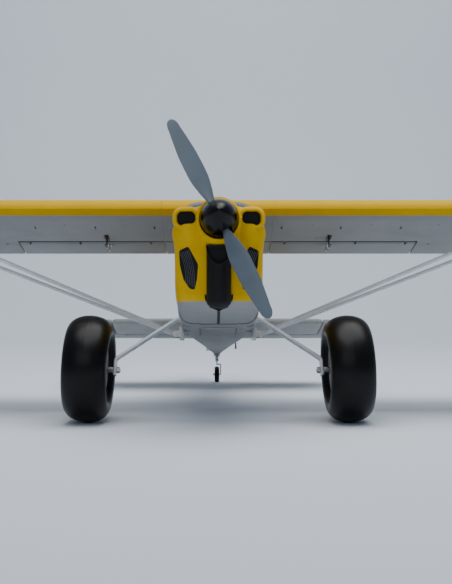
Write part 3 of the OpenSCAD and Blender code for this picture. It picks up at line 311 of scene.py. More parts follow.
def makeFoam(name, greyWhere, paintedCoveShade=None):
    # moulded EPO foam, skinned in the mould and sprayed: soft sheen with a faint print of the beads
    material, tree, shader = newMaterial(name)
    place = addNode(tree, "ShaderNodeTexCoord")
    spot = place.outputs["Object"]
    yellow, n1 = mottled(tree, spot, foamPaint["yellowLight"], foamPaint["yellowDark"], 45)
    grey, n2 = mottled(tree, spot, foamPaint["greyLight"], foamPaint["greyDark"], 60)
    mask = greyWhere(tree, place)
    # painted shade: inside the box given as the last argument, the grey turns near black, darkening the
    # hinge cove so the gap reads dark
    if paintedCoveShade:
        start, floor, ceiling, end = [v / 1000 for v in paintedCoveShade]
        edge, rim = 0.0006, 0.0004
        xyz = addNode(tree, "ShaderNodeSeparateXYZ", links={"Vector": spot})
        y, z = xyz.outputs[1], xyz.outputs[2]
        deep = combine(tree, ramp(tree, y, start, start + edge), ramp(tree, z, floor, floor + rim))
        deep = combine(tree, deep, ramp(tree, z, ceiling, ceiling - rim))
        deep = combine(tree, deep, ramp(tree, y, end, end - edge))
        shade = addNode(tree, "ShaderNodeMix", {"data_type": "RGBA", 7: linear(foamPaint["paintedCoveShade"])},
            {0: deep, 6: grey})
        grey = shade.outputs[2]
    mix = addNode(tree, "ShaderNodeMix", {"data_type": "RGBA"}, {0: mask, 6: yellow, 7: grey})
    tree.links.new(mix.outputs[2], shader.inputs["Base Color"])
    beads = addNode(tree, "ShaderNodeTexVoronoi",
        {"feature": "SMOOTH_F1", "Scale": 1000 / foamPaint["beadSize"], "Smoothness": 0.6}, {"Vector": spot})
    grain = addNode(tree, "ShaderNodeTexNoise", {"Scale": 900.0, "Detail": 2.0}, {"Vector": spot})
    height = combine(tree, beads.outputs["Distance"], grain.outputs["Fac"], "ADD")
    bump = addNode(tree, "ShaderNodeBump",
        {"Strength": 0.22, "Distance": foamPaint["beadDepth"] / 1000}, {"Height": height})
    tree.links.new(bump.outputs["Normal"], shader.inputs["Normal"])
    rough = addNode(tree, "ShaderNodeMapRange",
        {"To Min": foamPaint["yellowRough"] - 0.05, "To Max": foamPaint["greyRough"] + 0.04},
        {"Value": n1.outputs["Fac"]})
    tree.links.new(rough.outputs["Result"], shader.inputs["Roughness"])
    shader.inputs["IOR"].default_value = 1.46
    shader.inputs["Specular IOR Level"].default_value = 0.1
    return material


def splitAbove(level, axis=2, slope=0.0, soft=0.0006):
    # grey below a straight paint line; level in millimetres, slope is rise per millimetre aft
    def where(tree, place):
        xyz = addNode(tree, "ShaderNodeSeparateXYZ", links={"Vector": place.outputs["Object"]})
        lift = addNode(tree, "ShaderNodeMath", {"operation": "MULTIPLY_ADD", 1: -slope, 2: 0.0},
            {0: xyz.outputs[1]})
        tree.links.new(xyz.outputs[axis], lift.inputs[2])
        return ramp(tree, lift.outputs[0], level / 1000 + soft, level / 1000 - soft)
    return where


def undersideFrom(frontEdge, low=None, bottom=None, other=None):
    # grey on faces that look down and in hollows up to low, aft of a paint line;
    # bottom is where it starts and other adds a second grey part
    def where(tree, place):
        normal = addNode(tree, "ShaderNodeSeparateXYZ", links={"Vector": place.outputs["Normal"]})
        spot = addNode(tree, "ShaderNodeSeparateXYZ", links={"Vector": place.outputs["Object"]})
        y, z = spot.outputs[1], spot.outputs[2]
        edge, rim = 0.0004, 0.0003
        both = ramp(tree, normal.outputs[2], -0.12, -0.16)
        if low is not None:
            both = combine(tree, both, ramp(tree, z, low / 1000 + rim, low / 1000 - rim), "MAXIMUM")
        both = combine(tree, both, ramp(tree, y, frontEdge / 1000 - edge, frontEdge / 1000 + edge))
        if bottom is not None:
            both = combine(tree, both, ramp(tree, z, bottom / 1000 - rim, bottom / 1000 + rim))
        if other:
            both = combine(tree, both, other(tree, place), "MAXIMUM")
        return both
    return where


def makePlain(name, light, dark, rough, size=30, grain=0.35, grainDepth=0.02, metallic=0.0, ior=None,
        coat=0.0, coatRough=0.1, level=None, grainStrength=0.2, stretch=None):
    # one finish with slight colour drift, uneven gloss and a fine surface grain; sizes in millimetres
    material, tree, shader = newMaterial(name)
    place = addNode(tree, "ShaderNodeTexCoord")
    spot = place.outputs["Object"]
    if stretch:
        spot = addNode(tree, "ShaderNodeMapping", {"Scale": stretch}, {"Vector": spot}).outputs["Vector"]
    colour, noise = mottled(tree, spot, light, dark, size)
    tree.links.new(colour, shader.inputs["Base Color"])
    spread = addNode(tree, "ShaderNodeMapRange",
        {"To Min": max(0.02, rough - 0.05), "To Max": rough + 0.06}, {"Value": noise.outputs["Fac"]})
    tree.links.new(spread.outputs["Result"], shader.inputs["Roughness"])
    fine = addNode(tree, "ShaderNodeTexNoise", {"Scale": 1000 / grain, "Detail": 2.0}, {"Vector": spot})
    bump = addNode(tree, "ShaderNodeBump", {"Strength": grainStrength, "Distance": grainDepth / 1000},
        {"Height": fine.outputs["Fac"]})
    tree.links.new(bump.outputs["Normal"], shader.inputs["Normal"])
    shader.inputs["Metallic"].default_value = metallic
    if ior:
        shader.inputs["IOR"].default_value = ior
    if coat:
        shader.inputs["Coat Weight"].default_value = coat
        shader.inputs["Coat Roughness"].default_value = coatRough
    if level is not None:
        shader.inputs["Specular IOR Level"].default_value = level
    return material


# nylon moulded black, fine spark-eroded texture: dull with a broad sheen
blackNylon = makePlain("moulded_nylon_black", "#0A0A0C", "#070709", 0.42, grain=0.8, grainDepth=0.05,
    ior=1.53, level=0.25)
# the same nylon made greyer: a painted highlight along the louvre slats, with a clear sheen
slatHighlightNylon = makePlain("nylon_painted_highlight", "#4A4D51", "#404347", 0.3, grain=0.8, grainDepth=0.02, ior=1.53)
# ABS sprayed satin black: deep and smooth with a tight soft highlight
spinnerPaint = makePlain("sprayed_abs_satin_black", "#070708", "#050506", 0.22, size=60, ior=1.5, level=0.22)
# glass-filled nylon, moulded slate grey: satin, very faint flow marks
bladeNylon = makePlain("glass_filled_nylon_slate", "#64717C", "#596670", 0.36, size=50, grain=0.9,
    grainDepth=0.03, ior=1.53)
# closed-cell rubber skin blown in a polished mould: near black with a satin roll-off
tyreRubber = makePlain("moulded_rubber_skin", "#050506", "#040405", 0.34, size=35, grain=1.2,
    grainDepth=0.06, ior=1.52, level=0.2)
# nylon hub, moulded grey
hubNylon = makePlain("moulded_nylon_grey", "#8E8E91", "#828285", 0.5, ior=1.53)
# gear leg: 5052 bar, rolled and tumbled, then clear coated: pale and softly metallic
legAlloy = makePlain("tumbled_aluminium_bar", "#D3D7DC", "#C3C7CC", 0.34, grain=0.5, grainDepth=0.03,
    metallic=0.85)
# extruded strut tube with white powder coat: smooth and slightly orange-peeled
strutCoat = makePlain("powder_coat_white", "#E4E8ED", "#DDE1E6", 0.34, size=25, grain=1.4,
    grainDepth=0.04, ior=1.5)
# zinc-plated steel screws, wire and brackets: bright with a soft brush
platedSteel = makePlain("zinc_plated_steel", "#B9BCC0", "#A5A8AC", 0.28, grain=0.4, metallic=1.0)
# anodised aluminium can and end bell of the motor
motorRed = makePlain("anodised_aluminium_red", "#8C1B14", "#7C1610", 0.28, metallic=0.9)
motorBlack = makePlain("anodised_aluminium_black", "#2A2B2E", "#222326", 0.34, metallic=0.8)
# smoked PETG glazing, vacuum formed: dark and glossy
smokedGlazing = makePlain("smoked_petg", "#08090A", "#060708", 0.16, size=80, grain=3.0,
    grainDepth=0.02, ior=1.57, level=0.12)
# rolled carbon tube
carbonTube = makePlain("rolled_carbon", "#1C1D1F", "#121314", 0.3, size=6, grain=1.0, grainDepth=0.03,
    ior=1.5)
# heat-shrink sleeve over cells and electronics
shrinkBlue = makePlain("heat_shrink_blue", "#1C3E8C", "#173577", 0.3, ior=1.5)
# birch ply, rotary cut: pale with long streaks
birchPly = makePlain("birch_plywood", "#D2AE7A", "#BB9560", 0.6, size=18, grain=1.0, grainDepth=0.05,
    ior=1.45, stretch=(0.25, 2.0, 2.0))
print("materials ready")


# body sections: place aft, half width, bottom, top, squareness, lean

def power(value, p):
    return math.copysign(abs(value) ** (2 / p), value)


def ring(s, off=0.0, around=112):
    middle, half = (s[3] + s[2]) / 2, (s[3] - s[2]) / 2 - off
    points = []
    for i in range(around):
        t = 2 * pi * (i + 0.5) / around
        square = s[4] if sin(t) > 0 else s[4] + body["belly"] * max(0.0, 1 - s[0] / 1186)
        z = middle + half * power(sin(t), square)
        points.append(((s[1] - off) * power(cos(t), square), s[0] - s[5] * z, z))
    return points


def between(stations, at):
    # smooth, never overshooting curve through the stations
    out = [at]
    xs = [s[0] for s in stations]
    k = max(0, min(len(xs) - 2, sum(1 for x in xs[1:-1] if x <= at)))
    for c in range(1, 6):
        ys = [s[c] for s in stations]
        slopes = [(ys[i + 1] - ys[i]) / (xs[i + 1] - xs[i]) for i in range(len(xs) - 1)]
        def slopeAt(i):
            if i == 0 or i == len(xs) - 1:
                return slopes[min(i, len(slopes) - 1)]
            a, b = slopes[i - 1], slopes[i]
            return 0.0 if a * b <= 0 else 2 * a * b / (a + b)
        h = xs[k + 1] - xs[k]
        t = (at - xs[k]) / h
        m0, m1 = slopeAt(k) * h, slopeAt(k + 1) * h
        out.append((2 * t ** 3 - 3 * t * t + 1) * ys[k] + (t ** 3 - 2 * t * t + t) * m0
            + (3 * t * t - 2 * t ** 3) * ys[k + 1] + (t ** 3 - t * t) * m1)
    return out


body = {
    "stations": [
        [192, 73, -142, 57, 3.8, 0.22], [226, 75.5, -141.4, 81, 4.1, 0.14], [276, 76.5, -138, 100, 5, 0],
        [422, 76.5, -129, 100, 5, 0], [558, 70.5, -116, 95, 4.6, 0], [638, 64.5, -109, 78, 4, 0],
        [802.4, 50.4, -93.4, 57.6, 3.64, 0], [966.8, 36.3, -77.8, 37.2, 3.28, 0],
        [1103.8, 24.55, -64.8, 20.2, 2.98, 0],
        [1186, 17.5, -57, 10, 2.8, 0],
    ],
    "foam": 6, "ceiling": 72,
    "belly": 3.6,       # extra squareness of the lower half, fading to the tail
}
bodyPlaces = [192, 204, 216, 228, 242, 252, 264, 276, 300, 350, 400, 422, 450, 500, 558, 590, 614, 638,
    690, 740, 802.4, 860, 920, 966.8, 1040, 1103.8, 1150, 1186]


def bodySkin(name, off=0.0):
    return loft(name, [ring(between(body["stations"], y), off) for y in bodyPlaces])


def hollow(s):
    return [s[0], s[1] - body["foam"], s[2] + body["foam"], min(s[3] - body["foam"], body["ceiling"]),
        s[4], s[5]]


# wing section in (y, z), nose at the leading edge
wing = {
    "lead": 283, "chord": 335, "flat": 77, "rise": 13, "thick": 40.5, "root": 108.3,
    "tipX": 1005, "tipLength": 70, "tipY": 423.7, "tipZ": 90,
    "slots": [125, 242, 360], "slotY": 383, "dots": [184, 299, 430], "dotY": 359,
}


def overAt(u):
    t = wing["thick"] * (2.969 * math.sqrt(u) - 1.26 * u - 3.516 * u * u + 2.843 * u ** 3 - 1.036 * u ** 4)
    return wing["rise"] * (1 - u) ** 6 + t + 2 * u


def underAt(u):
    return wing["rise"] * max(0, 1 - u / 0.14) ** 2


def sectionPoints():
    upper = [(i / 46) ** 1.9 for i in range(46, 0, -1)]
    lower = [0.14 * (i / 16) ** 1.7 for i in range(1, 17)] + [0.3, 0.5, 0.7, 0.9, 1.0]
    lead, chord, flat = wing["lead"], wing["chord"], wing["flat"]
    return [(lead + u * chord, flat + overAt(u)) for u in upper] + [(lead,
        flat + wing["rise"])] + [(lead + u * chord, flat + underAt(u)) for u in lower]


hinge = {"y": 524.2, "z": 89.31, "r": 11.91, "flapGap": 4.5, "gap": 1.2, "lugs": [138, 284, 388],
    "aileronLugs": [436, 665, 974]}
links = {"flap": 225, "aileron": 690, "r": 24, "servoY": 467.25, "servoZ": 86}


def trailingRoom(x0, x1, gap):
    y, z, r = hinge["y"], hinge["z"], hinge["r"] + gap
    arc = [(y + r * cos(radians(a)), z + r * sin(radians(a))) for a in range(90, 271, 6)]
    return prism("room", [(y + 120, z + 60), (y, z + 60)] + arc + [(y, z - 40), (y + 120, z - 40)], "x",
        x0, x1)


def block(x0, x1, y0, y1, z0, z1, r=0.0):
    if r:
        return prism("block", roundBox((x0 + x1) / 2, (y0 + y1) / 2, x1 - x0, y1 - y0, r), "z", z0, z1)
    return prism("block", [(y0, z0), (y1, z0), (y1, z1), (y0, z1)], "x", x0, x1)


def sideBlock(s, x0, x1, *rest):
    # s is 1 to port and -1 to starboard
    return block(min(x0 * s, x1 * s), max(x0 * s, x1 * s), *rest)


# the last box on the body, wing and moving surfaces paints shade into the hinge cove and on to the flap and
# aileron noses
foamBody = makeFoam("painted_foam_body",
    undersideFrom(wing["lead"] + 19, bottom=70, other=splitAbove(-126.1, slope=0.068)), (494, 77.3, 98, 512))
foamCowl = makeFoam("painted_abs_cowl", splitAbove(-138, slope=0.13))
foamWing = makeFoam("painted_foam_wing", undersideFrom(wing["lead"] + 19, low=84.5), (494, 77.3, 98, 600))
foamMoving = makeFoam("painted_foam_moving", splitAbove(900), (494, 60, 120, 517.5))
foamGrey = makeFoam("painted_foam_grey", splitAbove(900))
foamYellow = makeFoam("painted_foam_yellow", splitAbove(-900))

# fuselage with the moulded-on centre wing
skin = bodySkin("fuselage")
tongue = loft("tongue", [ring([y, 69.4, -137.8, 50.2, 3.8, 0.22]) for y in (183, 196)])
middleWing = prism("middle_wing", sectionPoints(), "x", -108, 108)
carve(skin, [tongue, middleWing], "UNION")
inside = [[178, 67, -136, 49, 3.8, 0.22]] + [hollow(between(body["stations"], y)) for y in bodyPlaces
    if y < 1060]
windowShapes = [
    [(302, 12), (296, 62), (366, 66), (366, 12)],
    [(384, 12), (384, 66), (452, 66), (468, 40), (458, 12)],
]


def roundedOutline(points, r, steps=5):
    # fillets every corner of a closed outline
    out = []
    n = len(points)
    for i in range(n):
        p = Vector(points[i])
        a, b = Vector(points[i - 1]) - p, Vector(points[(i + 1) % n]) - p
        angle = a.angle(b)
        reach = min(r / math.tan(angle / 2), a.length * 0.45, b.length * 0.45)
        start, end = p + a.normalized() * reach, p + b.normalized() * reach
        for k in range(steps + 1):
            t = k / steps
            out.append(tuple((1 - t) ** 2 * start + 2 * t * (1 - t) * p + t * t * end))
    return out


def bothSides(make):
    return [make(1), make(-1)]


cutters = [loft("inside", [ring(s) for s in inside])]
cutters.append(block(-35.2, 35.2, 297.4, 447.2, -170, -110, 3))
cutters.append(prism("screen", [(199.6, 10), (199.6, 110), (262.4, 130), (262.4, 10)], "x", -64.4, 64.4))
for shape in windowShapes:
    cutters += bothSides(lambda s: prism("window", roundedOutline(shape, 5), "x", 66 * s, 90 * s))
cutters += bothSides(lambda s: prism("tube", disc(383.5, 97, 9.1), "x", 60 * s, 120 * s))
cutters.append(block(-70.3, 70.3, 916.7, 1090.9, -22.3, -9.7))
cutters.append(prism("elevator_slot", disc(1097.78, -16, 7.5), "x", -60, 60))
cutters += bothSides(lambda s: sideBlock(s, 19, 87, 250.7, 277.3, -129.8, -124.2))
cutters.append(block(-31, 31, 1186, 1400, -200, 300))
cutters.append(prism("post", disc(0, 1193.2, 7.2), "z", -200, 200))
cutters.append(block(-6.3, 6.3, 950, 1190, 2, 60))
cutters.append(block(-8.3, 8.3, 1111, 1196, -90, -55))
cutters.append(prism("horn_sweep",
    [(-1.2, 1193.2)] + [(31 * cos(radians(a)), 1193.2 + 31 * sin(radians(a))) for a in range(180, 267,
    6)] + [(-1.2, 1162.3)], "z", -48, -39))
cutters.append(block(-72, -13, 968, 1002, -48, -39))
cutters.append(block(-26.5, -13.5, 978.7, 1002.3, -71, -47))
cutters.append(block(16, 60, 978.7, 1002.3, -54.3, -41.7))
for x in (38, -38):
    cutters.append(prism("screw", disc(x, 217.2, 1.6, 24), "z", -150, -130))
for x, y in ((60, 286), (60, 379), (-60, 286), (-60, 379)):
    cutters.append(prism("socket", disc(x, y, 7.3), "z", -160, -117))
cutters += bothSides(lambda s: sideBlock(s, 67, 78, 453.7, 494.3, -130.3, -107.7, 2))
# mould marks under the middle of the wing, one slot on each side
for x in (-60, 60):
    cutters.append(block(x - 1.6, x + 1.6, 372, 394, 70, 84, 1.5))
carve(skin, cutters)
smooth(skin, 32)
finishPiece(skin, "airframe", foamBody, ["fuselage_shell"])
print("fuselage ready")

# black strips under the wing stubs carry the flap gap's dark line on to the cabin side: painted shade where
# there is no gap
strips = bothSides(lambda s: sideBlock(s, 76, 107.6, 499.3, 510, 76.8, 78))
finishPiece(joined("wing_root_gap_shade_strips", strips), "airframe", tyreRubber)
# black band in the joint between cowl and belly: painted shade for the dark seam line
seamShade = loft("cowl_seam_shade", [ring(between(body["stations"], y), -0.5) for y in (190.6, 197)])
carve(seamShade, [block(-90, 90, 185, 205, -128, 200)])
finishPiece(smooth(seamShade, 35), "airframe", tyreRubber)

# glazing pressed from thin sheet, let into the foam
for name, cutterMakers, node in (
    ("windshield_glazing", [lambda: prism("screen", [(200, 10), (200, 110), (262, 130), (262, 10)], "x",
    -64, 64)], "windshield"),
    ("cabin_windows", [lambda shape=shape,
    s=s: prism("pane", roundedOutline([(y + 0.3, z) for y, z in shape], 4.6), "x", 66 * s, 90 * s)
    for shape in windowShapes for s in (1, -1)], "side_windows"),
):
    panes = []
    for make in cutterMakers:
        sheet = bodySkin("sheet", 0.35)
        # cut to outline first: the two skins share their end planes, so hollowing the whole one fails
        carve(sheet, [make()], "INTERSECT")
        carve(sheet, [bodySkin("core", 2.2)])
        panes.append(sheet)
    pane = joined(name, panes)
    smooth(pane, 30)
    finishPiece(pane, "airframe", smokedGlazing, [node])
print("glazing ready")

# battery hatch, a cut from the same skin
lid = bodySkin("battery_lid")
carve(lid, [block(-34, 34, 300, 446, -170, -110, 2.4)], "INTERSECT")
carve(lid, [bodySkin("core", 6.2)])
carve(lid, [prism("finger", disc(0, 448, 9), "z", -160, -100)])
smooth(lid, 32)
finishPiece(lid, "hatch_body", foamBody, ["battery_hatch"])
wire = tube("hatch_hinge_wire", [(-31, 300, -137.52), (31, 300, -137.52)], 1.5, 16)
finishPiece(smooth(wire), "hatch_body", platedSteel)

# wings
panel = loft("wing_left_skin",
    [[(x, y, z) for y, z in sectionPoints()] for x in (wing["root"], wing["tipX"])])
tipRings = []
for i in range(19):
    t = sin(pi / 2 * i / 18) if i < 18 else 1.0
    k, h = math.sqrt(1 - 0.86 * t * t), math.sqrt(max(0.001, 1 - 0.93 * t * t))
    tipRings.append([(wing["tipX"] + t * wing["tipLength"], wing["tipY"] + (y - wing["tipY"]) * k,
        wing["tipZ"] + (z - wing["tipZ"]) * h) for y, z in sectionPoints()])
tip = loft("tip", tipRings)
panel = joined("wing_left_skin", [panel, tip])
bm = bmesh.new()
bm.from_mesh(panel.data)
bmesh.ops.remove_doubles(bm, verts=bm.verts, dist=0.000002)
inner = [f for f in bm.faces if len(f.verts) > 8
    and abs(f.calc_center_median().x - wing["tipX"] / 1000) < 0.0005]
bmesh.ops.delete(bm, geom=inner, context="FACES_ONLY")
bmesh.ops.recalc_face_normals(bm, faces=bm.faces)
bm.to_mesh(panel.data)
bm.free()
# the lower lip of the hinge cove is cut back along the flap, so the gap reads as a dark line from below
cutters = [
    block(109.5, 410.8, hinge["y"] - hinge["r"] - 13, hinge["y"], 70, 83),
    trailingRoom(100, 410.8, hinge["flapGap"]), trailingRoom(410, 1000.8, hinge["gap"]),
    prism("tube", disc(383.5, 97, 9.1), "x", 100, 433),
]
for x in (links["flap"], links["aileron"]):
    sy, sz = links["servoY"], links["servoZ"]
    cutters.append(block(x - 29.4, x - 3.6, sy - 6.4, sy + 17.4, 70, sz + 6.4))
    cutters.append(block(x - 4.1, x + 5, sy - 24, sy + 25, 70, sz + 7, 2))
    cutters.append(block(x - 3, x + 3, hinge["y"] - 28, hinge["y"] + 1, 70, hinge["z"] + 8))
for y in (324, 472):
    cutters.append(block(570.7, 589.3, y - 9.3, y + 9.3, 70, 81.3))
for x in wing["slots"]:
    cutters.append(block(x - 1.6, x + 1.6, wing["slotY"] - 11, wing["slotY"] + 11, 70, 84, 1.5))
for x in wing["dots"]:
    cutters.append(prism("dot", disc(x, wing["dotY"], 2.4, 24), "z", 70, 82))
carve(panel, cutters)
smooth(panel, 30)
finishBoth(panel, "wing_right_skin", "airframe", foamWing, "wing_left")

# covers over the wing servos, flush with the underside
covers = []
for x in (links["flap"], links["aileron"]):
    sy = links["servoY"]
    covers.append(block(x - 29.1, x - 4.4, sy - 6.1, sy + 17.1, 77.05, 78.9, 1.5))
covers = joined("wing_left_servo_covers", covers)
soften(covers, 0.4, 2)
smooth(covers, 35)
finishBoth(covers, "wing_right_servo_covers", "airframe", foamGrey)

# hinge lugs of black nylon let into the wing
lugs = []
for x, gap in [(x, hinge["flapGap"]) for x in hinge["lugs"]] + [(x, hinge["gap"])
        for x in hinge["aileronLugs"]]:
    y, z = hinge["y"], hinge["z"]
    reach = hinge["r"] + gap + 1
    outline = [(y - reach, z - 3.2)] + [(y + 3.2 * cos(radians(a)), z + 3.2 * sin(radians(a)))
        for a in range(-90, 91, 12)] + [(y - reach, z + 3.2)]
    lugs.append(prism("lug", outline, "x", x - 1.5, x + 1.5))
lugs = joined("wing_left_hinges", lugs)
soften(lugs, 0.4, 2)
smooth(lugs, 35)
finishBoth(lugs, "wing_right_hinges", "airframe", blackNylon)
print("wings ready")

# flaps and ailerons: round nose on the hinge line, moulded foam behind
def trailingPiece(name, x0, x1, lugPlaces):
    y, z, r = hinge["y"], hinge["z"], hinge["r"]
    nose = [(y + r * cos(radians(a)), z + r * sin(radians(a))) for a in range(90, 271, 7)]
    lead, chord, flat = wing["lead"], wing["chord"], wing["flat"]
    aftPoints = [(lead + u * chord, flat) for u in (0.735, 0.8, 0.9, 0.997)] + [(lead + chord,
        flat + 0.8), (lead + chord, flat + 1.4)]
    top = [(lead + u * chord, flat + overAt(u)) for u in (0.995, 0.97, 0.93, 0.89, 0.85, 0.81, 0.77, 0.74)]
    piece = prism(name, nose + aftPoints + top, "x", x0, x1)
    soften(piece, 0.9, 3, 60)
    slots = [block(x - 2.1, x + 2.1, y - r - 4, y + 4.7, z - r - 4, z + r + 4) for x in lugPlaces]
    carve(piece, slots)
    return smooth(piece, 32)


def hornPlate(name, x):
    y, z, flat = hinge["y"], hinge["z"], wing["flat"]
    outline = roundedOutline([(y + 3, flat + 4), (y + 24, flat + 4), (y + 24, flat - 2),
        (y + 5, z - 28), (y - 4, z - 28), (y - 4, z - 21)], 2.4)
    plate = prism(name, outline, "x", x - 1, x + 1)
    carve(plate, [prism("hole", disc(y, z - 24, 1.1, 20), "x", x - 3, x + 3)])
    foot = block(x - 4.5, x + 4.5, y + 2, y + 24, flat - 1.2, flat + 0.2, 1.5)
    plate = joined(name, [plate, foot])
    soften(plate, 0.25, 2, 50)
    return smooth(plate, 35)


# glass-nylon horns, moulded natural: milky and slightly glossy
hornNylon = makePlain("natural_nylon", "#D9D9D4", "#CFCFC9", 0.35, size=12, grain=0.8, grainDepth=0.03,
    ior=1.53)
for kind, x0, x1, lugPlaces, x in (("flap", 109, 409.2, hinge["lugs"], links["flap"]),
        ("aileron", 411.6, 1000, hinge["aileronLugs"], links["aileron"])):
    piece = trailingPiece(kind + "_left_foam", x0, x1, lugPlaces)
    finishBoth(piece, kind + "_right_foam", kind + "_left_body", foamMoving, kind + "_left")
    horn = hornPlate(kind + "_left_horn", x)
    finishBoth(horn, kind + "_right_horn", kind + "_left_body", hornNylon)
    # clevis and keeper on the two ends of the wire
    clevis = []
    for y in (links["servoY"], hinge["y"]):
        z = (links["servoZ"] if y == links["servoY"] else hinge["z"]) - links["r"]
        clevis.append(lathe("keeper",
            [(0.0, x + 2.2), (2.1, x + 2.2), (2.5, x + 2.6), (2.5, x + 3.6), (2.1, x + 4.0),
            (0.0, x + 4.0)], "x", (0, y, z), 20))
    clevis.append(tube("clevis",
        [(x + 2.6, links["servoY"] + 7, links["servoZ"] - links["r"] + 0.4),
        (x + 2.6, links["servoY"] + 25, links["servoZ"] - links["r"] + 1.4)], 1.9, 12))
    clevis = smooth(joined(kind + "_left_clevis", clevis), 40)
    finishBoth(clevis, kind + "_right_clevis", "rod_" + kind + "_left_body", blackNylon)
print("trailing edges ready")


# cowl: moulded shell with a domed front face, cheeks under the inlets and a bowl round the spinner
cowl = {
    "stations": [[20, 64, -121, 22, 3, 0.24], [26, 70, -129, 26, 3.2, 0.24],
    [40, 75, -135, 31, 3.4, 0.24], [90, 76, -139, 41, 3.6, 0.24], [191.7, 73, -142, 56, 3.8, 0.22]],
    "front": 20, "lean": 13.4957, "wall": 3, "spinnerHole": 34.5,
    "inletX": 55, "inletZ": 4.5, "inletW": 31, "inletH": 24,
    "cheekDepth": 20, "cheekSide": 8, "collarY": 7, "bowlWidth": 5, "ridge": 0.5,
}
faceTurn = radians(cowl["lean"])


def onFace(x, d, w):
    return (x, cowl["front"] + d * cos(faceTurn) - w * sin(faceTurn), d * sin(faceTurn) + w * cos(faceTurn))


def bump(value):
    return math.exp(-value * value)


def faceLift(x, z):
    # how far the front face stands forward of its flat, in millimetres
    r = math.hypot(x, z)
    bowl = max(0.0, cowl["front"] - 2 - 0.24 * z - cowl["collarY"]) * bump(max(0.0,
        r - cowl["spinnerHole"] - 2) / cowl["bowlWidth"])
    lift = 0.0
    ax = abs(x)
    down = z - cowl["inletZ"]
    if down < 8:
        t = max(0.0, min(1.0, -(down - 8) / 62))
        width = 24 * (1 - t) ** 0.6 + 3
        centre = cowl["inletX"] - 8 * t
        lift += cowl["cheekDepth"] * max(0.0, 1 - t ** 1.6) * bump((ax - centre) / width) * min(1.0,
            (8 - down) / 10)
    lift = max(lift, bowl)
    lift += cowl["ridge"] * bump(x / 6) * max(0.0, min(1.0, (r - 34) / 8)) * (1 if z < 0 else 0.5)
    return lift


def cowlSkin(name, off, facePlates):
    first = cowl["stations"][0]
    rows = []
    outline = ring(first, off, 144)
    for k in range(facePlates):
        share = 0.12 + 0.88 * (k / facePlates) ** 0.8
        row = []
        for x, y, z in outline:
            cx, cz = x * share, (z + 20) * share - 20 * share
            edge = share ** 7
            dome = 3.5 * (1 - edge) - 1.5
            y0 = cowl["front"] - 0.24 * cz + off
            row.append((cx, y0 - dome - faceLift(cx, cz), cz))
        rows.append(row)
    for y in (20.6, 22, 24, 26, 29, 33, 40, 50, 65, 90, 120, 155, 175, 190.4):
        row = []
        for x, py, z in ring(between(cowl["stations"], y), off, 144):
            # the cheeks swell sideways under the inlets and die away aft
            swell = cowl["cheekSide"] * bump((z + 10) / 22) * bump((y - 24) / 34) * min(1.0,
                abs(x) / 60) ** 4
            row.append((x + math.copysign(swell, x), py, z))
        rows.append(row)
    return loft(name, rows)


shell = cowlSkin("engine_cowl_skin", 0, 34)
hollowRows = []
for i, (y, half, bottom, top, square, lean) in enumerate(cowl["stations"]):
    wall = cowl["wall"]
    hollowRows.append(ring([y + (wall if i == 0 else 0), half - wall, bottom + wall, top - wall, square,
        lean], 0, 96))
hollowRows.append(ring([203.7, 70, -139, 52, 3.8, 0.22], 0, 96))
cowlInside = loft("inside", hollowRows)
carve(shell, [cowlInside])
plainShell = shell.copy()
plainShell.data = shell.data.copy()
bpy.context.collection.objects.link(plainShell)
faceTree = BVHTree.FromPolygons([v.co for v in shell.data.vertices],
    [tuple(f.vertices) for f in shell.data.polygons])


def onShell(x, w, lift):
    # the point of the cowl's outer skin seen along the face's own direction, lifted a little forward
    start = Vector(onFace(x, -60, w)) / 1000
    aim = (Vector(onFace(x, 60, w)) / 1000 - start).normalized()
    spot = faceTree.ray_cast(start, aim)[0]
    return tuple((spot - aim * lift / 1000) * 1000)


louvreShape = [(68, -50), (60, -46), (52, -42), (35, -73), (37, -98), (41, -116), (49, -115), (60, -99),
    (66, -76)]
louvreMiddle = (52, -76)


def shrunk(points, centre, k):
    return [(centre[0] + (x - centre[0]) * k, centre[1] + (z - centre[1]) * k) for x, z in points]


def faceBlock(name, outline, d0, d1):
    return loft(name, [[onFace(x, d, w) for x, w in outline] for d in (d0, d1)])


def flipX(outline, side):
    return [(x * side, z) for x, z in outline]


smoothLouvre = roundedOutline(louvreShape, 9, 6)
cutters = [prism("hole", disc(0, 0, cowl["spinnerHole"], 96), "y", -60, 50)]
for side in (1, -1):
    cutters.append(prism("inlet",
        roundBox(cowl["inletX"] * side, cowl["inletZ"], cowl["inletW"] + 1, cowl["inletH"] + 1, 9), "y",
        -60, 26))
    cutters.append(faceBlock("louvre", flipX(smoothLouvre, side), -24, 28))
cutters.append(faceBlock("scoop_hole", [(-14, -68), (14, -68), (14, -108), (-14, -108)], -20, 12))
for x in (38, -38):
    cutters.append(prism("screw", disc(x, 217.2, 1.6, 24), "z", -150, -130))
carve(shell, cutters)

# inlet lips roll over into short ducts, and a thin rolled ring frames the spinner
lips = []
stops = []
for side in (1, -1):
    rows = []
    for grow, depth in ((-3, 78), (3, 62), (6.4, 44), (8.2, 26), (8.5, 9), (8.0, 2), (7.2, -3),
            (6.2, -6.6), (4.6, -8.8), (2.9, -9.4), (1.4, -8.4), (0.5, -5.8), (0.1, 0), (-0.4, 12),
            (-1.5, 26)):
        w, h = cowl["inletW"] + 2 * grow, cowl["inletH"] + 2 * grow
        outline = roundBox(cowl["inletX"] * side, cowl["inletZ"], w, h, min(9 + grow, h / 2 - 0.5), 10)
        rows.append([onFace(x, depth, z) for x, z in outline])
    lips.append(loft("lip", rows, caps=False))
    # a black plate inside each duct, standing in for its shade
    stops.append(loft("stop",
        [[onFace(x, d, z) for x,
        z in roundBox(cowl["inletX"] * side, cowl["inletZ"], cowl["inletW"] + 1, cowl["inletH"] + 1, 8)]
        for d in (4.5, 6.5)]))
rows = []
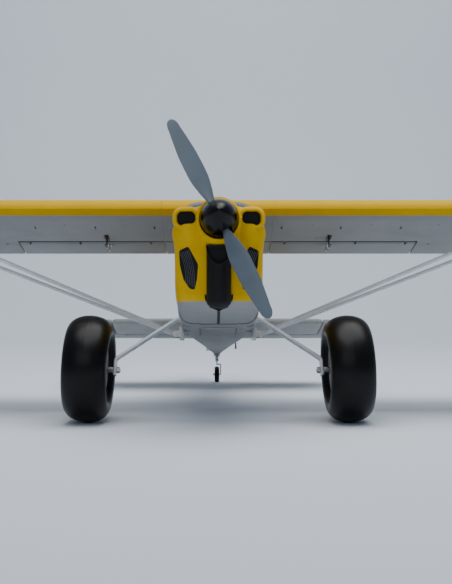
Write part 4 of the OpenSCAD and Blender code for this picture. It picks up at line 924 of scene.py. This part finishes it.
for r, y, lean in ((39.5, 17, 0.24), (38.4, 11, 0.1), (37.2, 6.8, 0), (35.8, 5.6, 0), (34.2, 5.7, 0),
        (33.1, 7.2, 0), (32.9, 24, 0.2)):
    rows.append([(r * cos(radians(a)), y - lean * r * sin(radians(a)), r * sin(radians(a)))
        for a in range(0, 360, 4)])
lips.append(loft("ring", rows, caps=False))
shell = joined("engine_cowl_skin", [shell] + lips)
smooth(shell, 38)
finishPiece(shell, "airframe", foamCowl, ["engine_cowl"])
# black plates stand just inside the two ducts: painted shade for the dark inside of the inlets
finishPiece(joined("cowl_inlet_shade_plates", stops), "airframe", blackNylon)

# louvre panels take the cowl's own curve, with swept slats standing proud
louvre = {"count": 6, "bow": -7, "edge": 0.62, "lift": 0.35}
slats = []
edges = []
for side in (1, -1):
    copy = plainShell.copy()
    copy.data = plainShell.data.copy()
    bpy.context.collection.objects.link(copy)
    carve(copy, [faceBlock("louvre", flipX(shrunk(smoothLouvre, louvreMiddle, 0.985), side), -24, 28)],
        "INTERSECT")
    slats.append(copy)
    for i in range(louvre["count"]):
        u = (i + 0.6) / louvre["count"]
        top, foot = Vector((68 - 18 * u, -53 + 4 * u)), Vector((58 - 18 * u, -104 - 10 * u))
        middle = (top + foot) / 2 + Vector((louvre["bow"], 0))
        path = []
        for k in range(17):
            t = k / 16
            p = (1 - t) ** 2 * top + 2 * t * (1 - t) * middle + t * t * foot
            path.append(onShell(p.x * side, p.y, louvre["lift"]))
        edges.append(tube("slat", path, louvre["edge"], 8))
bpy.data.objects.remove(plainShell)
louvres = joined("cowl_louvre_panels", slats)
smooth(louvres, 30)
finishPiece(louvres, "airframe", blackNylon, ["cowl_louvres"])
# the slats carry the greyer nylon as a painted highlight
finishPiece(smooth(joined("cowl_louvre_slats", edges), 60), "airframe", slatHighlightNylon)
print("cowl ready")

# chin scoop: half-round moulding with a slanted U-shaped mouth and a flange round its foot
scoop = {"r": 21, "wall": 2.2, "top": -42.5, "foot": -136, "mouth": 29, "proud": 4}


def scoopPoint(angle, w, r):
    return onFace(r * cos(angle), -r * sin(angle) - scoop["proud"], w)


def scoopShell(r, lipDrop, foot):
    rows = []
    count = 49
    for k in range(26):
        t = k / 25
        row = []
        for i in range(count):
            a = pi * i / (count - 1)
            lip = scoop["top"] - 1.5 - scoop["mouth"] * sin(a) ** 1.3 - lipDrop
            if t < 0.35:
                v = t / 0.35 * pi / 2
                rr, w = r * sin(v) ** 0.9, foot - 12 * cos(v)
            else:
                v = (t - 0.35) / 0.65
                rr, w = r, foot + (lip - foot) * v
            row.append(scoopPoint(a, w, max(rr, 0.4)))
        rows.append(row)
    return rows, count


outer, count = scoopShell(scoop["r"], 0, scoop["foot"])
innerRows, count = scoopShell(scoop["r"] - scoop["wall"], 0.4, scoop["foot"] + 1)
points = [p for row in outer for p in row] + [p for row in innerRows for p in row]
n = len(outer)
faces = []
for r in range(n - 1):
    for i in range(count - 1):
        a, b = r * count + i, (r + 1) * count + i
        faces.append((a, a + 1, b + 1, b))
        c, d = n * count + a, n * count + b
        faces.append((c, d, d + 1, c + 1))
last = (n - 1) * count
for i in range(count - 1):
    faces.append((last + i, last + i + 1, n * count + last + i + 1, n * count + last + i))
scoopPiece = newPiece("chin_scoop_shell", points, faces)
soften(scoopPiece, 0.5, 2, 60)
bar = faceBlock("bar", roundBox(0, scoop["top"] + 0.5, 44, 3.8, 1.5), -13.5, 3)
back = faceBlock("back", [(-20, -43), (20, -43), (20, -128), (-20, -128)], -5.4, 0)
plate = faceBlock("flange",
    roundedOutline([(-24.5, -123), (-23.5, -133), (-15.5, -146), (0, -152), (15.5, -146), (23.5, -133),
    (24.5, -123), (20, -126), (-20, -126)], 3, 4), -2.4, 4)
strip = loft("strip", [[(x, y, z + d) for x,
    d in ((-2.6, 0.6), (2.6, 0.6), (2.6, -0.5), (1.9, -1.1), (-1.9, -1.1), (-2.6, -0.5))] for y,
    z in ((53, -127.6), (57, -129.2), (64, -132), (72, -134.9), (85, -136.4), (100, -137.6),
    (123, -139), (150, -139.8), (185, -140.8), (221, -141.9))])
rib = [scoopPoint(pi * i / 24, scoop["top"] - 1.5 - scoop["mouth"] * sin(pi * i / 24) ** 1.3,
    scoop["r"] - scoop["wall"] / 2) for i in range(25)]
rim = tube("rim", rib, 1.7, 10)
dot = lathe("dot", [(0.0, -1.4), (1.6, -1.2), (2.1, -0.4), (2.2, 0.4), (0.0, 0.4)], "y", (0, 0, 0), 20)
dot.data.transform(Matrix.Translation(Vector(onFace(0, -scoop["r"] - scoop["proud"], -100)) / 1000))
scoopPiece = joined("chin_scoop_shell", [scoopPiece, bar, back, plate, rim, dot, strip])
smooth(scoopPiece, 40)
finishPiece(scoopPiece, "airframe", blackNylon, ["chin_scoop"])
print("scoop ready")

# spinner and propeller, drawn upright and turned to the parked angle
park = planeFrame @ Matrix.Rotation(radians(-26), 4, "Y")
spinner = {"r": 32, "length": 63, "wall": 1.6, "slot": 21, "point": 1.5}
profile = [(spinner["r"] - spinner["wall"], 2.8), (spinner["r"], 2.8), (spinner["r"], 1.5)]
for i in range(1, 49):
    a = pi / 2 * i / 48
    profile.append((spinner["r"] * max(0.0, cos(a)) ** spinner["point"] if i < 48 else 0.0,
        2.9 - spinner["length"] * sin(a)))
for i in range(47, -1, -1):
    a = pi / 2 * i / 48
    profile.append(((spinner["r"] - spinner["wall"]) * max(0.0, cos(a)) ** spinner["point"] if i < 48
        else 0.0, 2.9 - (spinner["length"] - 2.4) * sin(a)))
cone = lathe("spinner_shell", profile[:-1], "y", (0, 0, 0), 128, park)
slots = []
for s in (1, -1):
    outline = roundBox(0, -11, spinner["slot"], 26, 7, 8)
    slots.append(prism("slot", outline, "z", 10 if s > 0 else -60, 60 if s > 0 else -10, park))
carve(cone, slots)
soften(cone, 0.35, 2, 50)
smooth(cone, 35)
finishPiece(cone, "propeller_assembly", spinnerPaint, ["spinner_cone"])

blade = {
    "length": 190.5, "chord": 35, "pitch": 152,
    "steps": [[0.045, 0.36, 0.5], [0.1, 0.42, 0.38], [0.17, 0.52, 0.26], [0.27, 0.78, 0.16],
    [0.42, 1, 0.12], [0.6, 0.97, 0.11], [0.77, 0.8, 0.1], [0.9, 0.61, 0.1], [0.965, 0.44, 0.1],
    [1, 0.2, 0.1]],
}


def bladeAt(share):
    return between([[s[0], s[1], s[2], 0, 0, 0] for s in blade["steps"]], share)


shares = [0.045 + (0.9 - 0.045) * i / 30 for i in range(31)] + [0.9 + 0.1 * (1 - (1 - i / 14) ** 1.8)
    for i in range(1, 15)]
rows = []
for share in shares:
    step = bladeAt(share)
    r, c = share * blade["length"], step[1] * blade["chord"]
    if share > 0.9:
        c = max(3.0, bladeAt(0.9)[1] * blade["chord"] * math.sqrt(max(0.02,
            1 - ((share - 0.9) / 0.1) ** 2.4)))
    thick = step[2] * c
    turn = math.atan(blade["pitch"] / (2 * pi * max(r, 26)))
    row = []
    for i in range(48):
        a = 2 * pi * (i + 0.5) / 48
        u, v = c / 2 * cos(a), thick / 2 * sin(a) * (1 + 0.35 * cos(a))
        if sin(a) < 0:
            v *= 0.45
        row.append((-(u * cos(turn)) + v * sin(turn), -7 - u * sin(turn) - v * cos(turn), r))
    rows.append(row)
one = loft("blade", rows, matrix=park)
two = one.copy()
two.data = one.data.copy()
bpy.context.collection.objects.link(two)
two.data.transform(Matrix.Rotation(pi, 4, "Y"))
boss = lathe("boss", [(4.05, -14), (10.6, -14), (11.5, -13), (11.5, 2.2), (10.8, 3), (4.05, 3)], "y",
    (0, 0, 0), 64, park)
weld(boss, 0.00001)
boss = joined("propeller_blades", [boss, one, two])
smooth(boss, 45)
finishPiece(boss, "propeller_assembly", bladeNylon, ["propeller"])
print("propeller ready")


# main wheels: balloon tyre on a moulded two-bead hub, leaned and toed on its axle
wheel = {
    "x": 238, "y": 264, "z": -218.5, "camber": 3, "toe": 2, "bead": 49, "halfWidth": 41, "round": 2.08,
    "partingLine": 0.35, "spokes": 8, "screws": 8,
}
atWheel = Matrix.Translation(Vector((wheel["x"], wheel["y"],
    wheel["z"])) / 1000) @ Matrix.Rotation(radians(wheel["toe"]), 4,
    "Z") @ Matrix.Rotation(radians(-wheel["camber"]), 4, "Y")


def setOnAxle(piece):
    piece.data.transform(atWheel)
    return piece


profile = []
for i in range(121):
    a = radians(360 * i / 120 - 90)
    # around the tyre from the outer bead over the tread to the inner bead
    r = 71 + (27 if sin(a + pi / 2) > 0 else 24) * power(cos(a), wheel["round"])
    t = wheel["halfWidth"] * power(sin(a), wheel["round"])
    if r > 96 and abs(t) < 0.8:
        r += wheel["partingLine"]
    profile.append((r, t))
closed = []
for r, t in profile:
    if r < 52.3 and abs(t) > 24.3:
        r = 52.3
    if r < 49.3:
        r = 49.3
    closed.append((r, t))
tyre = lathe("tyre_left_skin", closed, "x", (0, 0, 0), 144)
setOnAxle(tyre)
smooth(tyre, 50)
finishBoth(tyre, "tyre_right_skin", "wheel_left", tyreRubber, "tyre_left")

b = wheel["bead"]
profile = [
    (3.1, -13), (8.6, -13), (9, -12.4), (10, -6.4), (11, -6), (b - 10, -7.6), (b - 9, -8.4),
    (b - 5.6, -22), (b - 5, -24), (b - 5, -28.4), (b - 4.4, -29),
    (b + 2.2, -29), (b + 3, -28.2), (b + 3, -25.6), (b + 2.4, -25), (b + 0.2, -24), (b, -23), (b, 23),
    (b + 0.2, 24), (b + 2.4, 25), (b + 3, 25.6), (b + 3, 28.2), (b + 2.2, 29),
    (b - 4.4, 29), (b - 5, 28.4), (b - 5, 24.6), (b - 5.6, 23), (b - 9, 1), (b - 10, 0.2), (11, 3.6),
    (10, 4.4), (9, 12.4), (8.6, 13), (3.1, 13), (3.1, -13),
]
disk = lathe("hub_left_moulding", profile, "x", (0, 0, 0), 128)
ribs = [disk]
for i in range(wheel["spokes"]):
    a = 2 * pi * i / wheel["spokes"]
    for t0, t1 in ((-20, -6.6), (2.2, 14)):
        rib = loft("rib", [[(t, w, r) for t,
            w in ((t0 + (0 if r < 20 else 4 if t0 < 0 else 0), -1.3), (t1, -1.3), (t1, 1.3),
            (t0 + (0 if r < 20 else 4 if t0 < 0 else 0), 1.3))] for r in (8.5, 26, b - 8.6)])
        rib.data.transform(Matrix.Rotation(a, 4, "X"))
        soften(rib, 0.4, 2, 50)
        ribs.append(rib)
for i in range(wheel["screws"]):
    a = 2 * pi * (i + 0.5) / wheel["screws"]
    for s in (-1, 1):
        post = lathe("post", [(0.0, 0), (3.4, 0), (3.8, 0.4), (3.8, 8.6), (3.4, 9), (1.8, 9),
            (1.8, 6.4), (0.0, 6.4)], "x", (0, 0, 0), 24)
        post.data.transform(Matrix.Rotation(a, 4,
            "X") @ Matrix.Translation(Vector((-7 if s < 0 else 1, 0, 33)) / 1000) @ Matrix.Scale(s, 4,
            (1, 0, 0)))
        weld(post, 0.00001)
        ribs.append(post)
disk = joined("hub_left_moulding", ribs)
setOnAxle(disk)
smooth(disk, 38)
finishBoth(disk, "hub_right_moulding", "wheel_left", hubNylon, "hub_left")
print("wheels ready")

# gear legs: flat bar bent cold, so the corners are round and the edges eased
leg = {"wide": 26, "thick": 5, "bend": 5}
legLine = [(22, -127), (77, -127), (188.64, -200.5), (190.63, -230.5)]


def roundedLine(points, r, steps=9):
    out = [Vector(points[0])]
    for i in range(1, len(points) - 1):
        p = Vector(points[i])
        a, c = Vector(points[i - 1]) - p, Vector(points[i + 1]) - p
        reach = min(r, a.length * 0.45, c.length * 0.45)
        start, end = p + a.normalized() * reach, p + c.normalized() * reach
        for k in range(steps + 1):
            t = k / steps
            out.append((1 - t) ** 2 * start + 2 * t * (1 - t) * p + t * t * end)
    out.append(Vector(points[-1]))
    return out


def stripOutline(points, thick):
    left, right = [], []
    for i, p in enumerate(points):
        a = points[max(0, i - 1)]
        c = points[min(len(points) - 1, i + 1)]
        d = (c - a).normalized()
        n = Vector((-d.y, d.x))
        left.append(tuple(p + n * thick / 2))
        right.append(tuple(p - n * thick / 2))
    return left + right[::-1]


bar = prism("gear_leg_left_bar", stripOutline(roundedLine(legLine, leg["bend"]), leg["thick"]), "y",
    264 - leg["wide"] / 2, 264 + leg["wide"] / 2)
hole = prism("hole", disc(0, 0, 3.3, 32), "x", -84, 84)
setOnAxle(hole)
carve(bar, [hole] + [prism("hole", disc(34, 264 + y, 1.8, 20), "z", -170, -100) for y in (-7, 7)])
soften(bar, 0.9, 3, 50)
smooth(bar, 35)
finishBoth(bar, "gear_leg_right_bar", "airframe", legAlloy, "gear_leg_left")

# lift struts: streamline tube, ends pinched to a tongue round the eye bolt
strut = {"chord": 16, "thick": 7, "eye": 6, "tongue": 4, "bolt": 1.65}
strutPieces = []
for start, end in (((83.7, 466, -121), (580, 324, 69)), ((83.7, 482, -121), (580, 472, 69))):
    a, c = Vector(start), Vector(end)
    d = (c - a).normalized()
    deep = Vector((0, 1, 0))
    deep = (deep - d * deep.dot(d)).normalized()
    across = d.cross(deep)
    length = (c - a).length
    rows = []
    places = [7, 9, 12, 16, 20, 24,
        29] + [29 + (length - 58) * k / 8 for k in range(1, 8)] + [length - v for v in (29, 24, 20, 16,
        12, 9, 7)]
    for place in places:
        near = min(place, length - place)
        t = max(0.0, min(1.0, (near - 9) / 20))
        t = t * t * (3 - 2 * t)
        w = (4 + (strut["chord"] - 4) * t) / 2
        h = (8 + (strut["thick"] - 8) * t) / 2
        p = a + d * place
        row = []
        for i in range(40):
            q = 2 * pi * i / 40
            row.append(tuple(p + deep * w * power(cos(q), 2.2) + across * h * power(sin(q), 2.2)))
        rows.append(row)
    tubePiece = loft("tube", rows)
    strutPieces.append(tubePiece)
    half = strut["tongue"] / 2
    for p, toward in ((a, d), (c, -d)):
        eye = prism("eye", disc(p.x, p.z, strut["eye"], 40), "y", p.y - half, p.y + half)
        tongue = prism("tongue",
            stripOutline([Vector((p.x, p.z)), Vector((p.x + toward.x * 15, p.z + toward.z * 15))], 7),
            "y", p.y - half, p.y + half)
        carve(eye, [tongue], "UNION")
        carve(eye, [prism("bolt", disc(p.x, p.z, strut["bolt"], 24), "y", p.y - 9, p.y + 9)])
        soften(eye, 0.5, 2, 50)
        strutPieces.append(eye)
pair = joined("strut_pair_left_tubes", strutPieces)
smooth(pair, 38)
finishBoth(pair, "strut_pair_right_tubes", "airframe", strutCoat, "strut_pair_left")
print("gear and struts ready")

# tail surfaces: flat moulded foam with rounded edges, the moving halves thinning to the back
tail = {"thick": 12, "hinge": 1097.78, "z": -16, "root": 32.58, "te": 1179, "edge": 4.6, "thin": 0.62}
tailBottom, tailTop = tail["z"] - tail["thick"] / 2, tail["z"] + tail["thick"] / 2


def thinned(piece, axis, start, end, share, middle=0.0, by=1):
    # the piece thins evenly from start to end, so it is first split where the taper begins
    bm = bmesh.new()
    bm.from_mesh(piece.data)
    normal = Vector((0, 1, 0))
    bmesh.ops.bisect_plane(bm, geom=bm.verts[:] + bm.edges[:] + bm.faces[:],
        plane_co=normal * start / 1000, plane_no=normal)
    for v in bm.verts:
        t = max(0.0, min(1.2, (v.co[by] * 1000 - start) / (end - start)))
        v.co[axis] = middle / 1000 + (v.co[axis] - middle / 1000) * (1 - share * t)
    bm.to_mesh(piece.data)
    bm.free()
    return piece


fixed = [(-249 + 0.8, 937), (-241, 929), (-219, 925), (-0.5, 917), (0.5, 917), (219, 925), (241, 929),
    (248.2, 937), (248.2, 1090.58), (-248.2, 1090.58)]
plane = prism("tailplane_foam", roundedOutline(fixed, 7), "z", tailBottom, tailTop)
soften(plane, tail["edge"], 5, 50)
smooth(plane, 35)
finishPiece(plane, "airframe", foamGrey, ["horizontal_stabilizer"])
halfShape = [
    (tail["root"], 1091.8), (249.8, 1091.8), (249.8, 935), (263, 937), (283, 949), (296, 979), (300, 1009),
    (300, 1133), (290, 1157), (266, 1170), (tail["root"] + 60, 1179), (tail["root"], 1179),
]
half = prism("elevator_half", roundedOutline(halfShape, 6), "z", tailBottom, tailTop)
soften(half, tail["edge"] - 0.6, 5, 50)
thinned(half, 2, tail["hinge"] + 6, tail["te"], tail["thin"], tail["z"])
cutters = [block(x - 2.1, x + 2.1, 1080, 1102.5, -30, 0) for x in (72.6, 225)]
cutters.append(block(39.5, 47.5, 1077, 1106, -30, 4))
cutters.append(prism("joiner", disc(tail["hinge"], tail["z"], 2.3, 24), "x", 20, tail["root"] + 26.3))
carve(half, cutters)
smooth(half, 35)
other = mirrored(half, "elevator_other")
elevators = joined("elevator_foam", [half, other])
finishPiece(elevators, "elevator_body", foamGrey, ["elevator_halves"])

finShape = [(955, 4), (1010, 70), (1072, 150), (1104, 182), (1126, 190), (1186, 188), (1186, 4)]
fin = prism("fin_foam", roundedOutline(finShape, 10), "x", -6, 6)
soften(fin, tail["edge"], 5, 50)
smooth(fin, 35)
finishPiece(fin, "airframe", foamYellow, ["vertical_fin"])
rudderY = 1193.2
rudderShape = [(-5.6, -50), (-5.6, 186), (12, 190), (86, 187), (112, 172), (139.5, 60), (150, 10),
    (145.5, -20), (104, -50)]
rudder = prism("rudder_foam", roundedOutline([(rudderY + y, z) for y, z in rudderShape], 9), "x", -6, 6)
soften(rudder, tail["edge"], 5, 50)
thinned(rudder, 0, rudderY + 8, rudderY + 150, tail["thin"])
carve(rudder, [block(-20, 20, rudderY - 12, rudderY + 4.7, z - 2.1, z + 2.1) for z in (36, 148)])
smooth(rudder, 35)
finishPiece(rudder, "rudder_body", foamGrey, ["rudder"])
horn = prism("rudder_horn",
    roundedOutline([(-3, rudderY - 4), (-3, rudderY + 16), (-8, rudderY + 14), (-28, rudderY + 4),
    (-28, rudderY - 4)], 2.5), "z", -46, -44)
carve(horn, [prism("hole", disc(-24, rudderY, 1.1, 20), "z", -50, -40)])
soften(horn, 0.25, 2, 50)
finishPiece(smooth(horn, 35), "rudder_body", hornNylon)
# lugs of the tail hinges
lugs = []
for x in (72.6, 225, -72.6, -225):
    y, z = tail["hinge"], tail["z"]
    outline = [(y - 9, z - 3.2)] + [(y + 3.2 * cos(radians(a)), z + 3.2 * sin(radians(a)))
        for a in range(-90, 91, 12)] + [(y - 9, z + 3.2)]
    lugs.append(prism("lug", outline, "x", x - 1.5, x + 1.5))
for z in (36, 148):
    outline = [(-3.2, rudderY - 9)] + [(3.2 * cos(radians(a)), rudderY + 3.2 * sin(radians(a)))
        for a in range(180, -1, -12)] + [(3.2, rudderY - 9)]
    lugs.append(prism("lug", outline, "z", z - 1.5, z + 1.5))
lugs = joined("tail_hinges", lugs)
finishPiece(smooth(lugs, 35), "airframe", blackNylon)

# tail wheel
axle = (0, 1210, -105.5)
profile = []
for i in range(61):
    a = 2 * pi * i / 60
    profile.append((15.9 + 4.1 * power(cos(a), 2.3) if cos(a) > 0 else 15.9 + 3.4 * power(cos(a), 2.3),
        6 * power(sin(a), 2.3)))
small = lathe("tail_tyre_skin", profile, "x", axle, 96)
finishPiece(smooth(small, 50), "tail_wheel", tyreRubber, ["tail_tyre"])
profile = [(1.6, -6.4), (3.6, -6.4), (4, -6), (4.2, -3.2), (5, -2.6), (9.2, -2.8), (10, -3.4),
    (10.4, -5), (11.8, -5), (12.1, -4.4), (12.1, 4.4), (11.8, 5), (10.4, 5), (10, 3.4), (9.2, 2.8),
    (5, 2.6), (4.2, 3.2), (4, 6), (3.6, 6.4), (1.6, 6.4), (1.6, -6.4)]
small = lathe("tail_hub_moulding", profile, "x", axle, 64)
finishPiece(smooth(small, 35), "tail_wheel", hornNylon, ["tail_hub"])
print("tail ready")

# CAD pieces kept as they are take their finish from their material slot
bySlot = {
    "plywood": birchPly, "motor_black": motorBlack, "motor_red": motorRed, "blue_shrink": shrinkBlue,
    "black_plastic": blackNylon,
    "carbon_tube": carbonTube, "steel": platedSteel, "grey_nylon": hornNylon, "gear_alloy": legAlloy,
    "white_strut": strutCoat,
    "yellow_foam": foamYellow, "grey_foam": foamGrey, "yellow_plastic": foamYellow,
    "smoked_glazing": smokedGlazing,
    "spinner_black": spinnerPaint, "tyre_black": tyreRubber, "grey_hub": hubNylon,
}
byNode = {"float_sockets": foamGrey, "strut_brackets": platedSteel, "tail_bracket": platedSteel}
for entry in frame["record"]["subparts"]:
    piece = nodes[entry["node"]]
    if piece.hide_render:
        continue
    for place in piece.material_slots:
        place.link = "OBJECT"
        place.material = byNode.get(entry["node"]) or bySlot[entry["material_slot"]]

# pale floor rising to a wall, broad soft light from above and a little from the front
room = {"floorLight": "#DFE6EF", "floorDark": "#DAE1EA", "sky": "#B6C2D2", "skyPower": 0.42, "key": 88,
    "front": 12, "wall": 60}


def makeSweep():
    material, tree, shader = newMaterial("painted_sweep")
    place = addNode(tree, "ShaderNodeTexCoord")
    spot = place.outputs["Object"]
    noise = addNode(tree, "ShaderNodeTexNoise", {"Scale": 1.2, "Detail": 3.0}, {"Vector": spot})
    mix = addNode(tree, "ShaderNodeMix", {"data_type": "RGBA"}, {0: noise.outputs["Fac"]})
    mix.inputs[6].default_value = linear(room["floorDark"])
    mix.inputs[7].default_value = linear(room["floorLight"])
    tree.links.new(mix.outputs[2], shader.inputs["Base Color"])
    shader.inputs["Roughness"].default_value = 0.75
    # seen from behind or below, the sweep lets the view through to the plane
    side = addNode(tree, "ShaderNodeNewGeometry")
    clear = addNode(tree, "ShaderNodeBsdfTransparent")
    choice = addNode(tree, "ShaderNodeMixShader", {},
        {0: side.outputs["Backfacing"], 1: shader.outputs["BSDF"], 2: clear.outputs["BSDF"]})
    for node in tree.nodes:
        if node.type == "OUTPUT_MATERIAL":
            tree.links.new(choice.outputs["Shader"], node.inputs["Surface"])
    return material


flat, rise, steps = 2.6, 1.4, 24
line = [(-16.0, 0.0), (flat, 0.0)] + [(flat + rise * sin(pi / 2 * i / steps),
    rise * (1 - cos(pi / 2 * i / steps))) for i in range(1, steps + 1)] + [(flat + rise, 5.0)]
points = [(x * 1000, y * 1000, z * 1000) for x in (-14, 14) for y, z in line]
faces = [(i, i + 1, len(line) + i + 1, len(line) + i) for i in range(len(line) - 1)]
sweep = newPiece("sweep", points, faces, Matrix.Identity(4))
if sweep.data.polygons[0].normal.z < 0:
    sweep.data.flip_normals()
sweep.data.materials.append(makeSweep())
sweep.data.shade_smooth()


def areaLight(name, at, target, wide, tall, strength, colour="#FFFFFF"):
    data = bpy.data.lights.new(name, "AREA")
    data.shape = "RECTANGLE"
    data.size, data.size_y = wide, tall
    data.energy = strength
    data.color = linear(colour)[:3]
    lamp = bpy.data.objects.new(name, data)
    bpy.context.collection.objects.link(lamp)
    lamp.location = at
    lamp.rotation_euler = (Vector(target) - Vector(at)).to_track_quat("-Z", "Y").to_euler()
    return lamp


lamps = [
    areaLight("key", (0.3, -0.4, 2.7), (0, 0, 0.2), 3.2, 2.4, room["key"]),
    areaLight("front", (-0.6, -3.4, 1.7), (0, 0, 0.25), 2.4, 1.6, room["front"]),
    areaLight("wall", (0, 1.5, 3.4), (0, 4.0, 0.9), 5.0, 0.8, room["wall"]),
]

world = bpy.data.worlds.new("studio")
bpy.context.scene.world = world
world.use_nodes = True
world.node_tree.nodes.clear()
sky = addNode(world.node_tree, "ShaderNodeBackground", {"Strength": room["skyPower"]})
sky.inputs["Color"].default_value = linear(room["sky"])
addNode(world.node_tree, "ShaderNodeOutputWorld", links={"Surface": sky.outputs["Background"]})

lens = bpy.data.cameras.new("camera")
lens.lens = 82.3
lens.sensor_width = 36
lens.shift_x = 0.0223
lens.shift_y = -0.0223
camera = bpy.data.objects.new("camera", lens)
bpy.context.collection.objects.link(camera)
camera.location = (-0.010, -2.8696, 0.263)
camera.rotation_euler = (pi / 2, 0, 0)
bpy.context.scene.camera = camera
